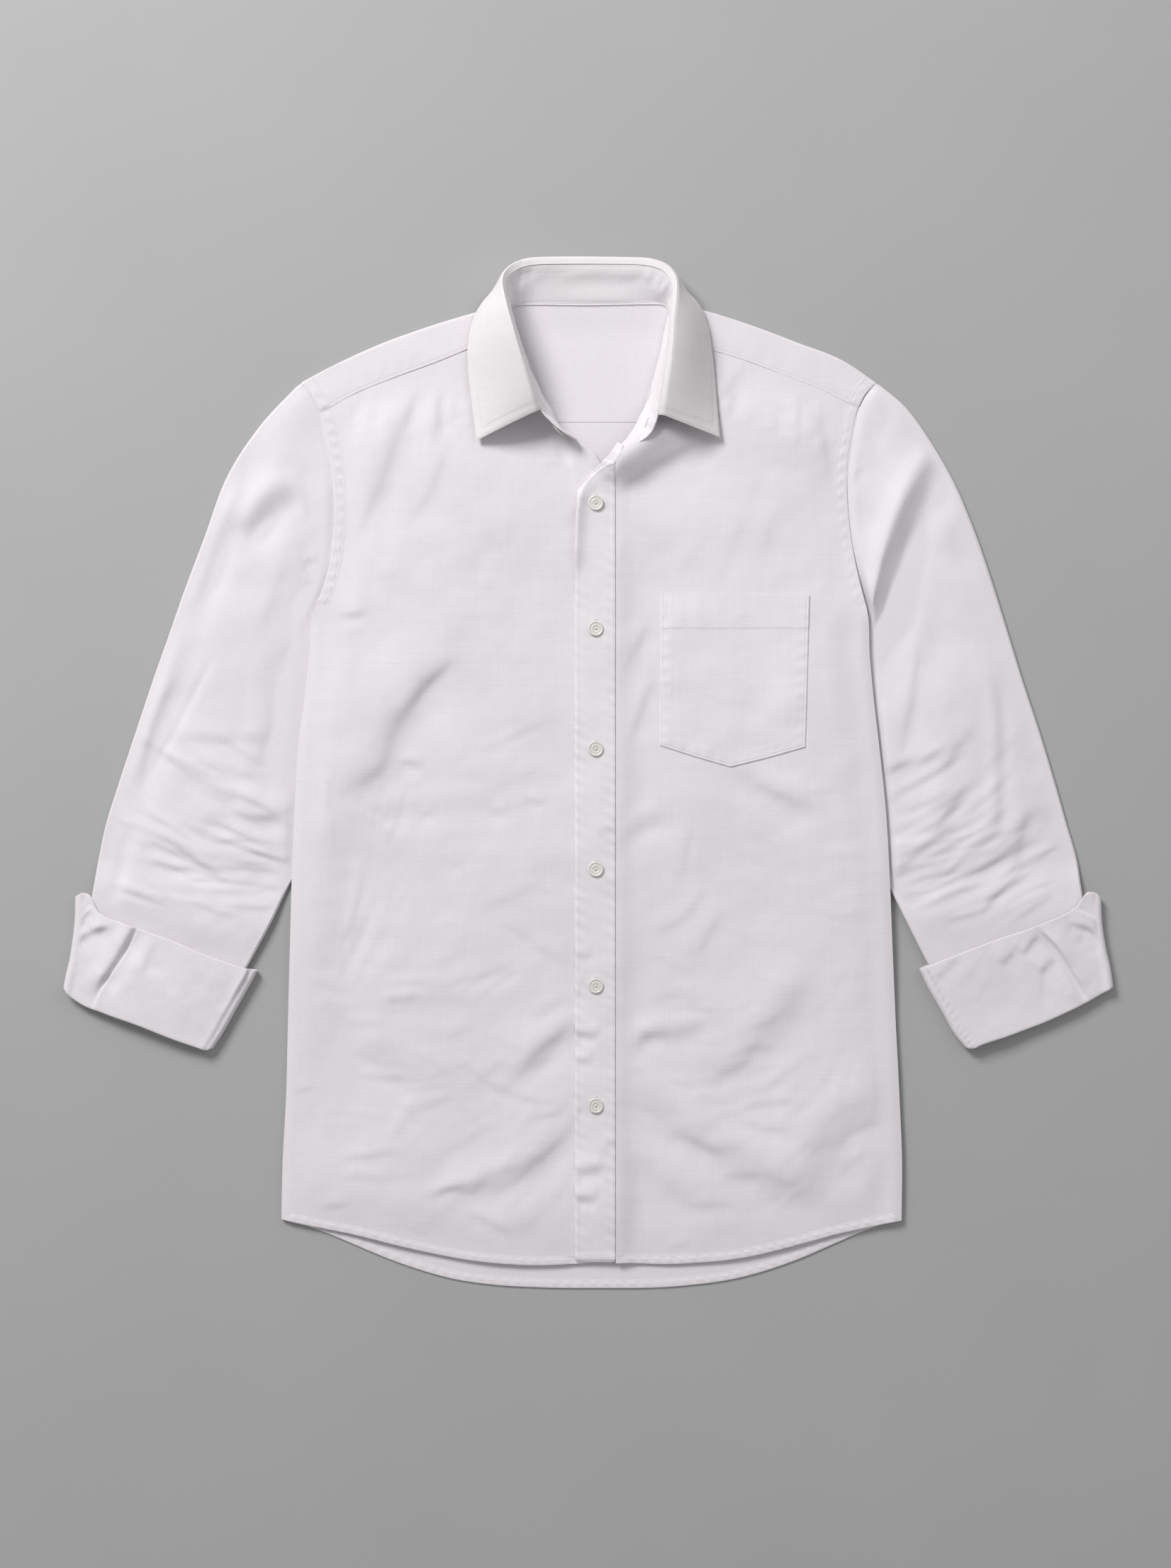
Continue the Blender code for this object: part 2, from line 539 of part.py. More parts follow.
def add_object(group, name, mesh, finish):
    """Object of a mesh with its finish, in the shirt's collection."""
    mesh.materials.append(material(finish))
    piece = bpy.data.objects.new(name, mesh)
    group.objects.link(piece)
    return piece


def cloth_wall(group, name, face, lining, finish, ring=False, keep=None):
    """Closed wall between two grids of points, joined along every free edge.

    face and lining are arrays (stations, points, 3) in millimetres, the two sides of
    the wall. ring closes each station on itself, and keep says which cells are cloth.
    """
    rows, cols = face.shape[:2]
    spans = cols if ring else cols - 1
    keep = np.ones((rows - 1, spans), dtype=bool) if keep is None else keep
    bm = bmesh.new()
    sides = []
    for grid in (face, lining):
        sides.append([[bm.verts.new(Vector(p) * MM) for p in row] for row in grid])
    borders = {}
    for i, j in zip(*np.nonzero(keep)):
        cell = ((i, j), (i + 1, j), (i + 1, (j + 1) % cols), (i, (j + 1) % cols))
        for side in sides:
            corners = [side[a][b] for a, b in cell]
            bm.faces.new(corners[:3])
            bm.faces.new((corners[0], corners[2], corners[3]))
        for start, end in zip(cell, cell[1:] + cell[:1]):
            if (end, start) in borders:
                del borders[(end, start)]
            else:
                borders[(start, end)] = True
    for (a, b), (c, d) in borders:
        bm.faces.new([sides[0][a][b], sides[0][c][d], sides[1][c][d], sides[1][a][b]])
    loose = [vert for vert in bm.verts if not vert.link_faces]
    bmesh.ops.delete(bm, geom=loose, context="VERTS")
    bmesh.ops.recalc_face_normals(bm, faces=bm.faces)
    mesh = bpy.data.meshes.new(name)
    bm.to_mesh(mesh)
    bm.free()
    mesh.shade_smooth()
    mesh.set_sharp_from_angle(angle=pi / 4)
    return add_object(group, name, mesh, finish)


def flat_panel(group, name, x, y, under, finish, keep=None):
    """One layer of cloth over a plan grid, with its underside at `under`."""
    below = points(x, y, under)
    above = points(x, y, under + CLOTH)
    return cloth_wall(group, name, above, below, finish, keep=keep)


def panel_rows(x_at, hem, top_y, armhole_y):
    """Plan grid of a body panel: hem rows, then the shared lines, then rows to its top.

    x_at(y) gives the x of the panel's columns at a height y, hem names the column of
    HEMS, top_y is the y of each column's top end, and armhole_y what its last rows are
    spaced to, which keeps them level with the other panels' rows at the armhole.
    """
    first, last = ROW_LINES[0], ROW_LINES[-1]
    hem_x = x_at(np.full(len(top_y), HEM_CORNER_Y))
    hem_y = column(HEMS, "x", hem, hem_x)
    rows = [hem_y, 0.5 * (hem_y + first)]
    rows += [np.full(len(top_y), y) for y in ROW_LINES]
    rows += [last + t * (armhole_y - last) for t in TOP_ROWS]
    rows.append(top_y)
    y = np.stack(rows, axis=1)
    x = np.stack([x_at(row) for row in rows], axis=1)
    return x, y


def build_back(group):
    """Back panel, from the hem to the yoke seam, over the hidden part of the sleeves."""
    side = np.array(SIDE_COLUMNS)
    share = np.linspace(0, 1, 7)[1:-1]

    def x_at(y):
        edges = len(side)
        left = body_left(y[:edges]) + side
        right = body_right(y[-edges:]) - side[::-1]
        inner = (body_left(y[edges:-edges]) + side[-1],
                 body_right(y[edges:-edges]) - side[-1])
        return np.concatenate((left, inner[0] + share * (inner[1] - inner[0]), right))

    columns = 2 * len(side) + len(share)
    top_y = np.full(columns, YOKE_SEAM_Y - GAP)
    x, y = panel_rows(x_at, "back", top_y, np.full(columns, YOKE_CORNER_Y))
    return flat_panel(group, "back", x, y, lift(x, y), SHIRTING)


def seam_columns(edge, sign, table):
    """x of the columns that a front and the yoke share along their seam, side to neck."""
    side_x = float(edge(YOKE_CORNER_Y))
    side = side_x - sign * np.array(SIDE_COLUMNS)
    chest = np.linspace(side[-1], table[-1].x, 5)[1:]
    return np.concatenate((side, chest))


def front_grid(edge, sign, middle_x, table):
    """Plan grid of a front, its columns in order of rising x.

    edge(y) is the side edge and sign its side (-1 left, 1 right), middle_x the straight
    centre edge, and table the neck edge, whose rows are columns of the grid too.
    """
    side = np.array(SIDE_COLUMNS)
    side_x = float(edge(YOKE_CORNER_Y))
    seam_x = seam_columns(edge, sign, table)
    neck_x = np.array([row.x for row in table])[::-1]
    neck_y = np.array([row.y for row in table])[::-1]
    top_x = np.concatenate((seam_x[:-1], neck_x))
    top_y = np.concatenate((seam_line(seam_x[:-1]), neck_y)) - GAP
    inner = side_x - sign * side[-1]
    share = (top_x[len(side):] - inner) / (middle_x - inner)

    def x_at(y):
        y = np.minimum(y, YOKE_CORNER_Y)
        near = edge(y[:len(side)]) - sign * side
        start = edge(y[len(side):]) - sign * side[-1]
        return np.concatenate((near, start + share * (middle_x - start)))

    x, y = panel_rows(x_at, "front", top_y, top_y)
    above = np.clip((y - ROW_LINES[-1]) / (top_y[:, None] - ROW_LINES[-1]), 0.0, 1.0)
    above[:len(side)] = 0.0
    x = x + above ** 3 * (top_x[:, None] - x)
    return (x, y) if sign < 0 else (x[::-1], y[::-1])


def build_front_left(group):
    """Lower front, whose centre edge lies under the placket."""
    x, y = front_grid(body_left, -1, UNDERLAP_X, NECK_LEFT)
    return flat_panel(group, "front_left", x, y, front_under(x, y), SHIRTING)


def build_front_right(group):
    """Upper front, seamed to the placket."""
    middle = PLACKET_SEAM_X + GAP
    x, y = front_grid(body_right, 1, middle, NECK_RIGHT)
    return flat_panel(group, "front_right", x, y, upper_front_under(x, y), SHIRTING)


def build_placket(group):
    """Placket on the edge of the upper front, rolling over above the top button."""
    lines = [y for y in ROW_LINES if y > PLACKET_EDGE[0].y]
    top = np.linspace(lines[-1], PLACKET_EDGE[-1].y, 9)[1:]
    y = np.concatenate(((PLACKET_EDGE[0].y, 0.5 * (PLACKET_EDGE[0].y + lines[0])), lines, top))
    free = column(PLACKET_EDGE, "y", "free_x", y)
    across = np.linspace(0, 1, 4)
    x = free[:, None] + across * (PLACKET_SEAM_X - free[:, None])
    y = np.repeat(y[:, None], len(across), axis=1)
    return flat_panel(group, "placket", x, y, front_under(x, y) + LAYER, SHIRTING)


def build_pocket(group):
    """Patch pocket, made from the upper front's own points and moved out."""
    rows = stations(POCKET, 9)
    up = np.linspace(0, 1, 9)
    x = rows[:, 0:1] + up * (rows[:, 2:3] - rows[:, 0:1])
    y = rows[:, 1:2] + up * (rows[:, 3:4] - rows[:, 1:2])
    under = upper_front_under(x, y) + LAYER + POCKET_ROOM
    return flat_panel(group, "pocket", x, y, under, SHIRTING)


def yoke_side(table, edge, sign, neck):
    """Points of one shoulder, armhole to neck: its fold, and its seam to the front."""
    seam_x = seam_columns(edge, sign, neck)
    fold_x = column(table, "seam_x", "fold_x", seam_x)
    fold_y = column(table, "seam_x", "fold_y", seam_x)
    return np.stack((fold_x, fold_y), 1), np.stack((seam_x, seam_line(seam_x)), 1)


def yoke_section(start, crest, end):
    """Outer and inner points of one section of the yoke, from its back seam.

    start is on the back seam, crest on the shoulder fold and end on the front seam. The
    section runs flat to the fold, half round it, and flat above itself to the end.
    """
    radius = LAYER - GAP / 2
    up = (crest - start) / np.linalg.norm(crest - start)
    rim = crest - up * radius
    turns = np.radians((45.0, 90.0, 135.0))
    sides = []
    for size in (radius, radius - CLOTH):
        low = [(*(start + t * (rim - start)), radius - size) for t in YOKE_UNDER]
        bend = [(*(rim + up * size * sin(a)), radius - size * cos(a)) for a in turns]
        high = [(*(rim + t * (end - rim)), radius + size) for t in YOKE_OVER]
        sides.append(low + bend + high)
    return sides


def build_yoke(group):
    """Yoke in one piece: under the shoulders, round each shoulder fold and on to the
    front seams, open at the neck."""
    fold_left, seam_left = yoke_side(YOKE_LEFT, body_left, -1, NECK_LEFT)
    fold_right, seam_right = yoke_side(YOKE_RIGHT, body_right, 1, NECK_RIGHT)
    middle_x = np.linspace(fold_left[-1, 0], fold_right[-1, 0], 9)[1:-1]
    middle = np.stack((middle_x, np.full_like(middle_x, NECK_SEAM_BACK_Y)), axis=1)
    top = np.concatenate((fold_left, middle, fold_right[::-1]))
    seam = np.concatenate((seam_left, middle, seam_right[::-1]))
    share = (top[:, 0] - top[0, 0]) / (top[-1, 0] - top[0, 0])
    left, right = float(body_left(YOKE_SEAM_Y)), float(body_right(YOKE_SEAM_Y))
    bottom = np.stack((left + share * (right - left), np.full(len(top), YOKE_SEAM_Y)), 1)
    sections = np.array([yoke_section(*ends) for ends in zip(bottom, top, seam)])
    for row, edge in ((0, body_left), (-1, body_right)):
        level = np.minimum(sections[row, ..., 1], SHOULDER_Y)
        inset = np.abs(sections[row, ..., 1] - SHOULDER_Y) > LAYER
        sections[row, ..., 0] = np.where(inset, edge(level), sections[row, ..., 0])
    keep = np.ones((len(top) - 1, sections.shape[2] - 1), dtype=bool)
    keep[len(fold_left) - 1:len(fold_left) + len(middle), len(YOKE_UNDER):] = False
    return cloth_wall(group, "yoke", sections[:, 0], sections[:, 1], SHIRTING, keep=keep)


def flat_ring(plan, width, height, wall, full, base, spread):
    """Outer and inner points round one flattened tube section.

    plan(u) gives (x, y) from the outer fold (u = 0) to the inner fold (u = 1), width is
    the section's length, height its outer height at the folds, full(x, y) the extra
    height of the top layer between them, base the height of its underside, and spread
    the values of u that its points have between the folds.
    """
    radius = height / 2
    turns = np.radians((90.0, 45.0, 0.0, -45.0, -90.0))
    first = radius / width
    sides = []
    for size, inset in ((radius, 0.0), (radius - wall, wall)):
        loop = []
        for u in spread:
            x, y = plan(u)
            loop.append((x, y, base + height - inset + full(x, y)))
        for turn in turns:
            x, y = plan(1.0 - first + size * cos(turn) / width)
            loop.append((x, y, base + radius + size * sin(turn)))
        for u in spread[::-1]:
            x, y = plan(u)
            loop.append((x, y, base + inset))
        for turn in turns[::-1]:
            x, y = plan(first - size * cos(turn) / width)
            loop.append((x, y, base + radius + size * sin(turn)))
        sides.append(loop)
    return sides


def build_sleeve(group, name, table, edge, sign):
    """Sleeve as a flattened tube from the armhole into the turned-back cuff."""
    height = 2 * CLOTH + SLEEVE_HOLLOW
    spread = (SHOULDER_Y - np.array(ARMHOLE_YS)) / (SHOULDER_Y - ARMPIT_Y)

    def armhole(u):
        y = SHOULDER_Y + u * (ARMPIT_Y - SHOULDER_Y)
        return np.array((float(edge(y)) + sign * ARMHOLE_GAP, y))

    face, lining = [], []
    for row in stations(table, SLEEVE_RINGS):
        outer, inner = row[0:2], row[2:4]
        follow, puff, rise = np.clip(row[4:7], 0.0, None)
        width = np.linalg.norm(inner - outer)

        def plan(u, outer=outer, inner=inner, follow=follow):
            chord = armhole(0.0) + u * (armhole(1.0) - armhole(0.0))
            bow = armhole(min(max(u, 0.0), 1.0)) - chord
            return outer + u * (inner - outer) + follow * bow

        def full(x, y, outer=outer, inner=inner, puff=puff):
            beside = sign * (x - float(edge(min(y, SHOULDER_Y))))
            inward = min(np.hypot(*(outer - (x, y))), np.hypot(*(inner - (x, y))))
            shape = float(smooth((beside - PUFF_START) / PUFF_RAMP) * smooth(inward / PUFF_RAMP))
            depth = float(fold_depth(SLEEVE_FOLDS, np.array([x]), np.array([y]))[0])
            return min(max(puff * shape * (SLEEVE_PUFF - depth), 0.0), SLEEVE_PUFF)

        outside, inside = flat_ring(plan, width, height, CLOTH, full, rise, spread)
        face.append(outside)
        lining.append(inside)
    return cloth_wall(group, name, np.array(face), np.array(lining), SHIRTING, ring=True)


def build_cuff(group, name, table, free_edge, fold_edge):
    """Turned-back cuff as a thick flattened ring round the sleeve's end."""
    height = 2 * CUFF_WALL + CUFF_HOLLOW
    spread = np.linspace(0.06, 0.94, 10)
    face, lining = [], []
    for share, row in zip(np.linspace(0, 1, CUFF_RINGS), stations(table, CUFF_RINGS)):
        outer, inner = row[0:2], row[2:4]
        width = np.linalg.norm(inner - outer)

        def plan(u, outer=outer, inner=inner, share=share):
            place = outer + u * (inner - outer)
            for edge, weight in ((free_edge, (1.0 - share) ** 2), (fold_edge, share ** 3)):
                start = np.array((edge[0].x, edge[0].y))
                end = np.array((edge[-1].x, edge[-1].y))
                here = np.array([float(column(edge, "along", axis, u)) for axis in "xy"])
                place = place + weight * (here - start - u * (end - start))
            return place

        def full(x, y, outer=outer, inner=inner):
            side = min(np.hypot(*(outer - (x, y))), np.hypot(*(inner - (x, y))))
            depth = float(fold_depth(CUFF_FOLDS, np.array([x]), np.array([y]))[0])
            return max(CUFF_PUFF * float(smooth(side / CUFF_RAMP)) - depth, 0.0)

        outside, inside = flat_ring(plan, width, height, CUFF_WALL, full, 0.0, spread)
        face.append(outside)
        lining.append(inside)
    return cloth_wall(group, name, np.array(face), np.array(lining), SHIRTING, ring=True)


def grid_normals(grid):
    """Unit normals of a grid of points, from the differences along its two ways."""
    normals = np.cross(np.gradient(grid, axis=0), np.gradient(grid, axis=1))
    return normals / np.linalg.norm(normals, axis=-1, keepdims=True)


def collar_stations(count, first=0, last=None):
    """Rows of the collar's table at even steps, as arrays base, top, bend and edge."""
    last = len(COLLAR) - 1 if last is None else last
    rows = np.array(COLLAR[first:last + 1], dtype=float)
    at = np.linspace(0.0, len(rows) - 1.0, count)
    rows = curve(np.arange(len(rows)), rows, at)
    return rows[:, 0:3], rows[:, 3:6], rows[:, 6:9], rows[:, 9:12]


def stand_outward(base, top):
    """Unit vectors out of the neck, square to the stand, one for each station."""
    along = np.gradient(0.5 * (base + top), axis=0)
    outward = np.cross(top - base, along)
    return outward / np.linalg.norm(outward, axis=1, keepdims=True)


def build_stand(group):
    """Collar stand: a band from the neck seam to just under the roll."""
    base, top, _, _ = collar_stations(STAND_STATIONS)
    outward = stand_outward(base, top)[:, None]
    t = np.linspace(0, 1, 4)[None, :, None]
    inside = base[:, None] + t * (top - base)[:, None]
    outside = inside + COLLAR_WALL * outward
    return cloth_wall(group, "collar_stand", outside, inside, COLLAR_CLOTH)


def build_leaf(group):
    """Collar leaf: up from the stand, over its roll and down to the outer edge."""
    base, top, bend, edge = collar_stations(LEAF_STATIONS, LEAF_FIRST, LEAF_LAST)
    outward = stand_outward(base, top)
    up = (top - base) / np.linalg.norm(top - base, axis=1, keepdims=True)
    seam = top + up * 2 * GAP + outward * COLLAR_WALL
    roll = top + up * ROLL_HEIGHT + outward * (COLLAR_WALL + ROLL_LEAN)
    sections = [seam, 0.5 * (seam + roll)]
    for t in np.linspace(0, 1, LEAF_STEPS):
        sections.append((1 - t) ** 2 * roll + 2 * t * (1 - t) * bend + t * t * edge)
    under = np.stack(sections, axis=1)
    over = under + COLLAR_WALL * grid_normals(under)
    over[..., 2] = np.maximum(over[..., 2], 0.0)
    return cloth_wall(group, "collar_leaf", over, under, COLLAR_CLOTH)


def button_mesh():
    """Turned shirt button: raised rim, dished face, flat back at z = 0, in metres."""
    radius, height = BUTTON_RADIUS * MM, BUTTON_HEIGHT * MM
    profile = ((0.0, 0.62), (0.55, 0.62), (0.66, 0.80), (0.76, 1.0), (0.92, 0.92),
               (1.0, 0.55), (0.90, 0.12), (0.70, 0.0), (0.0, 0.0))
    bm = bmesh.new()
    verts = [bm.verts.new((r * radius, 0.0, z * height)) for r, z in profile]
    for start, end in zip(verts, verts[1:]):
        bm.edges.new((start, end))
    mesh = bpy.data.meshes.new("button_profile")
    bm.to_mesh(mesh)
    bm.free()
    mesh.shade_smooth()
    return mesh


def add_button(group, name, place, turn):
    """Button at a place in millimetres, turned from facing up by a matrix."""
    piece = add_object(group, name, button_mesh(), BUTTON_SHELL)
    screw = piece.modifiers.new("turn", "SCREW")
    screw.axis = "Z"
    screw.steps = 12
    screw.render_steps = 12
    screw.use_merge_vertices = True
    screw.merge_threshold = 0.00001
    screw.use_smooth_shade = True
    piece.matrix_world = Matrix.Translation(Vector(place) * MM) @ turn
    return piece


def build_buttons(group):
    """Six buttons down the placket, and one on the end of the collar stand."""
    for index, y in enumerate(BUTTON_YS, start=1):
        at_x, at_y = np.array([BUTTON_X]), np.array([y])
        seat = float((front_under(at_x, at_y) + LAYER + CLOTH + GAP)[0])
        add_button(group, f"button_{index}", (BUTTON_X, y, seat), Matrix())
    base, top, _, _ = collar_stations(STAND_STATIONS)
    outward = stand_outward(base, top)[BUTTON_STATION]
    middle = 0.5 * (base[BUTTON_STATION] + top[BUTTON_STATION])
    seat = middle + outward * (COLLAR_WALL + GAP)
    facing = Vector(outward).to_track_quat("Z", "Y").to_matrix().to_4x4()
    add_button(group, "button_collar", seat, facing)


def main():
    """Clear the scene and build the shirt from the surface up."""
    for item in list(bpy.data.objects):
        bpy.data.objects.remove(item, do_unlink=True)
    shirt = collection("dress_shirt_laid_flat")
    build_back(shirt)
    build_yoke(shirt)
    build_sleeve(shirt, "sleeve_left", SLEEVE_LEFT, body_left, -1)
    build_sleeve(shirt, "sleeve_right", SLEEVE_RIGHT, body_right, 1)
    build_cuff(shirt, "cuff_left", CUFF_LEFT, FREE_EDGE_LEFT, FOLD_EDGE_LEFT)
    build_cuff(shirt, "cuff_right", CUFF_RIGHT, FREE_EDGE_RIGHT, FOLD_EDGE_RIGHT)
    build_front_left(shirt)
    build_front_right(shirt)
    build_placket(shirt)
    build_pocket(shirt)
    build_stand(shirt)
    build_leaf(shirt)
    build_buttons(shirt)


main()
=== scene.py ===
"""Dressed scene of a white cotton dress shirt, laid out flat on its back, front up.

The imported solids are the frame. Every piece of cloth is a thin closed shell on the form of
its solid, with the creases, hems and stitching that the shirt shows. Sizes are in
millimetres in the frame's own axes: +X is the viewer's right, +Y points to the collar and
+Z up. The paths of creases are in the photograph's pixels, and from_photo turns them.
"""
from __future__ import annotations

import logging
from dataclasses import dataclass
from enum import Enum
from functools import partial
from math import cos, pi, radians, sin
from typing import Callable
import bpy
import numpy as np
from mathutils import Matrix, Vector


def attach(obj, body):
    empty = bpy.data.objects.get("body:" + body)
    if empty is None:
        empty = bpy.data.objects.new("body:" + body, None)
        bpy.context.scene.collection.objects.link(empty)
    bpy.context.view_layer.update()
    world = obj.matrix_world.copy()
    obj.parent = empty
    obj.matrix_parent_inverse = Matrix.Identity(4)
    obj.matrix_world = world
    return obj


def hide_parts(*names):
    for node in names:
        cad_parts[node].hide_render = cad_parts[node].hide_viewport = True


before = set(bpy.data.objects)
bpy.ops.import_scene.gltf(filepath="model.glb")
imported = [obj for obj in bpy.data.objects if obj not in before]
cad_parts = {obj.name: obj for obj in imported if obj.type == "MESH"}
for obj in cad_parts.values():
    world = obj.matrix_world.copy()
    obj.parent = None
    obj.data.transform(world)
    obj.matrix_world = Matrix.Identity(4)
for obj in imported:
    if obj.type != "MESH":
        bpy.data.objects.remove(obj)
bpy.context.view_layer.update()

LOG = logging.getLogger("dress_shirt")
Grid = np.ndarray
Mesh = tuple[Grid, Grid]
Piece = bpy.types.Object
Socket = bpy.types.NodeSocket
Height = Callable[[Grid, Grid], Grid]

MM = 0.001
UP = np.array(((0.0, 0.0, 1.0),))
SHARP_ANGLE = radians(62.0)
SIDE = {-1: "left", 1: "right"}

# Photograph: its height in pixels, the pixel of the frame's origin and a pixel's size
PHOTO_HEIGHT = 2213
PHOTO_ORIGIN = (830.0, 1090.5)
PIXEL = 0.55

# Cloth: the walls of the solids, the step from layer to layer and the shells' own walls
CLOTH = 1.2
COLLAR_WALL = 1.6
CUFF_WALL = 2.4
GAP = 0.3
LAYER = CLOTH + GAP
SHELL = 0.7
STIFF_SHELL = 1.1

# Body, as in the solids
YOKE_SEAM_Y = 272.0
SHOULDER_Y = 302.8
ARMPIT_Y = 126.4
YOKE_CORNER_Y = 279.7
HEM_CORNER_Y = -346.0
UNDERLAP_X = 18.0
NECK_SEAM_BACK_Y = 366.0
FRONT_LOFT = 2.9
SLEEVE_STEP = 3.5
STEP_RAMP = 16.0
FRONT_RAMP = 80.0
YOKE_STEP = 0.8
CHEST_LINE = 186.0
PLACKET_SEAM_X = 21.0
PLACKET_RAMP = 15.0
BUTTON_RADIUS = 5.9
BUTTON_X = 5.8
BUTTON_YS = (208.5, 111.4, 18.4, -74.7, -165.0, -257.7)
SLEEVE_HOLLOW = 0.6
SLEEVE_PUFF = 2.9
CUFF_HOLLOW = 3.9
CUFF_PUFF = 1.3

# Spacing of the shells' points
PANEL_STEP = 2.4
BACK_STEP = 5.0
FINE_STEP = 1.4
BAND_STEP = 0.9

# Reach of a crease in its own widths, and the soft waves of worn cloth: cell and height
REACH = 5.0
WAVES = ((95.0, 2.3), (48.0, 1.25), (23.0, 0.5), (11.0, 0.17), (5.5, 0.06))


def smooth(t: Grid) -> Grid:
    """Smooth step from 0 to 1 as t goes from 0 to 1."""
    t = np.clip(t, 0.0, 1.0)
    return t * t * (3.0 - 2.0 * t)


def bell(t: Grid) -> Grid:
    """Bell curve: 1 at t = 0 and 0.37 at 1 or -1."""
    return np.exp(-(t ** 2))


def unit(vectors: Grid) -> Grid:
    """Vectors of length 1 along the last axis."""
    return vectors / np.maximum(np.linalg.norm(vectors, axis=-1, keepdims=True), 1e-9)


def even(count: int, start: float = 0.0, end: float = 1.0) -> Grid:
    """A row (1, count) of even places."""
    return np.linspace(start, end, count)[None, :]


def spaced(start: float, end: float, step: float) -> Grid:
    """Even places from start to end, about `step` apart."""
    return np.linspace(start, end, max(2, int(round(abs(end - start) / step)) + 1))


def from_photo(path: tuple[float, ...] | Grid) -> Grid:
    """Points (x, y) in millimetres from pixels of the photograph: across, down, across ..."""
    pixels = np.array(path, dtype=float).reshape(-1, 2)
    return (pixels - PHOTO_ORIGIN) * (PIXEL, -PIXEL)


def curve(keys: Grid, values: Grid, at: Grid) -> Grid:
    """Reads a cubic curve through rows, with slopes from the neighbouring rows.

    Args:
        keys: Rising keys of the rows.
        values: One value, or one row of values, for each key.
        at: Keys to read the curve at.

    Returns:
        The curve's values at those keys.
    """
    at = np.clip(np.asarray(at, dtype=float), keys[0], keys[-1])
    slopes = np.gradient(values, keys, axis=0)
    low = np.clip(np.searchsorted(keys, at, side="right") - 1, 0, len(keys) - 2)
    span = keys[low + 1] - keys[low]
    t = (at - keys[low]) / span
    if values.ndim > 1:
        t, span = t[..., None], span[..., None]
    start = (1.0 + 2.0 * t) * (1.0 - t) ** 2 * values[low] + t * (1.0 - t) ** 2 * span * slopes[low]
    end = t * t * (3.0 - 2.0 * t) * values[low + 1] + t * t * (t - 1.0) * span * slopes[low + 1]
    return start + end


@dataclass
class Table:
    """Sizes in rows. `names` are the columns, and a row that is short ends in zeros."""

    names: str
    rows: tuple[tuple[float, ...], ...]

    def __post_init__(self) -> None:
        """Fills the grid of values and its columns."""
        names = self.names.split()
        rows = [row + (0.0,) * (len(names) - len(row)) for row in self.rows]
        self.grid = np.array(rows, dtype=float)
        self.of = dict(zip(names, self.grid.T))

    def read(self, key: str, value: str, at: Grid) -> Grid:
        """Column `value` as a smooth curve of column `key`."""
        order = np.argsort(self.of[key], kind="stable")
        return curve(self.of[key][order], self.of[value][order], at)

    def stations(self, at: Grid, first: int = 0, last: int | None = None) -> Grid:
        """Whole rows at places counted in rows from the first one used."""
        rows = self.grid[first:last]
        return curve(np.arange(len(rows)), rows, at)


def soft_noise(x: Grid, y: Grid, cell: float, seed: int) -> Grid:
    """Irregular soft bumps between -1 and 1.

    Random values on a square net of points `cell` apart are joined by smooth steps.

    Args:
        x: Places across, in millimetres.
        y: Places along, in millimetres.
        cell: Spacing of the net, in millimetres.
        seed: Seed of the random values.

    Returns:
        Value of the bumps at each place.
    """
    net = np.random.default_rng(seed).uniform(-1.0, 1.0, (256, 256))
    u, v = x / cell + 97.3, y / cell + 61.7
    i, j = np.floor(u).astype(int), np.floor(v).astype(int)
    a, b = smooth(u - i), smooth(v - j)
    i, j = i % 255, j % 255
    low = net[i, j] * (1 - a) + net[i + 1, j] * a
    high = net[i, j + 1] * (1 - a) + net[i + 1, j + 1] * a
    return low * (1 - b) + high * b


def soft_line(s: Grid, cell: float, seed: int) -> Grid:
    """Irregular soft waves between -1 and 1 along one line."""
    return soft_noise(s, np.zeros_like(s), cell, seed)


class Kind(Enum):
    """Section of a crease.

    SLOPE and the rounder SOFT fall to one side, TROUGH and the finer LINE are valleys,
    RIDGE and the one-sided CREST rise, and FOLD is a sharp step.
    """

    SLOPE = "slope"
    TROUGH = "trough"
    RIDGE = "ridge"
    LINE = "line"
    FOLD = "fold"
    SOFT = "soft"
    CREST = "crest"


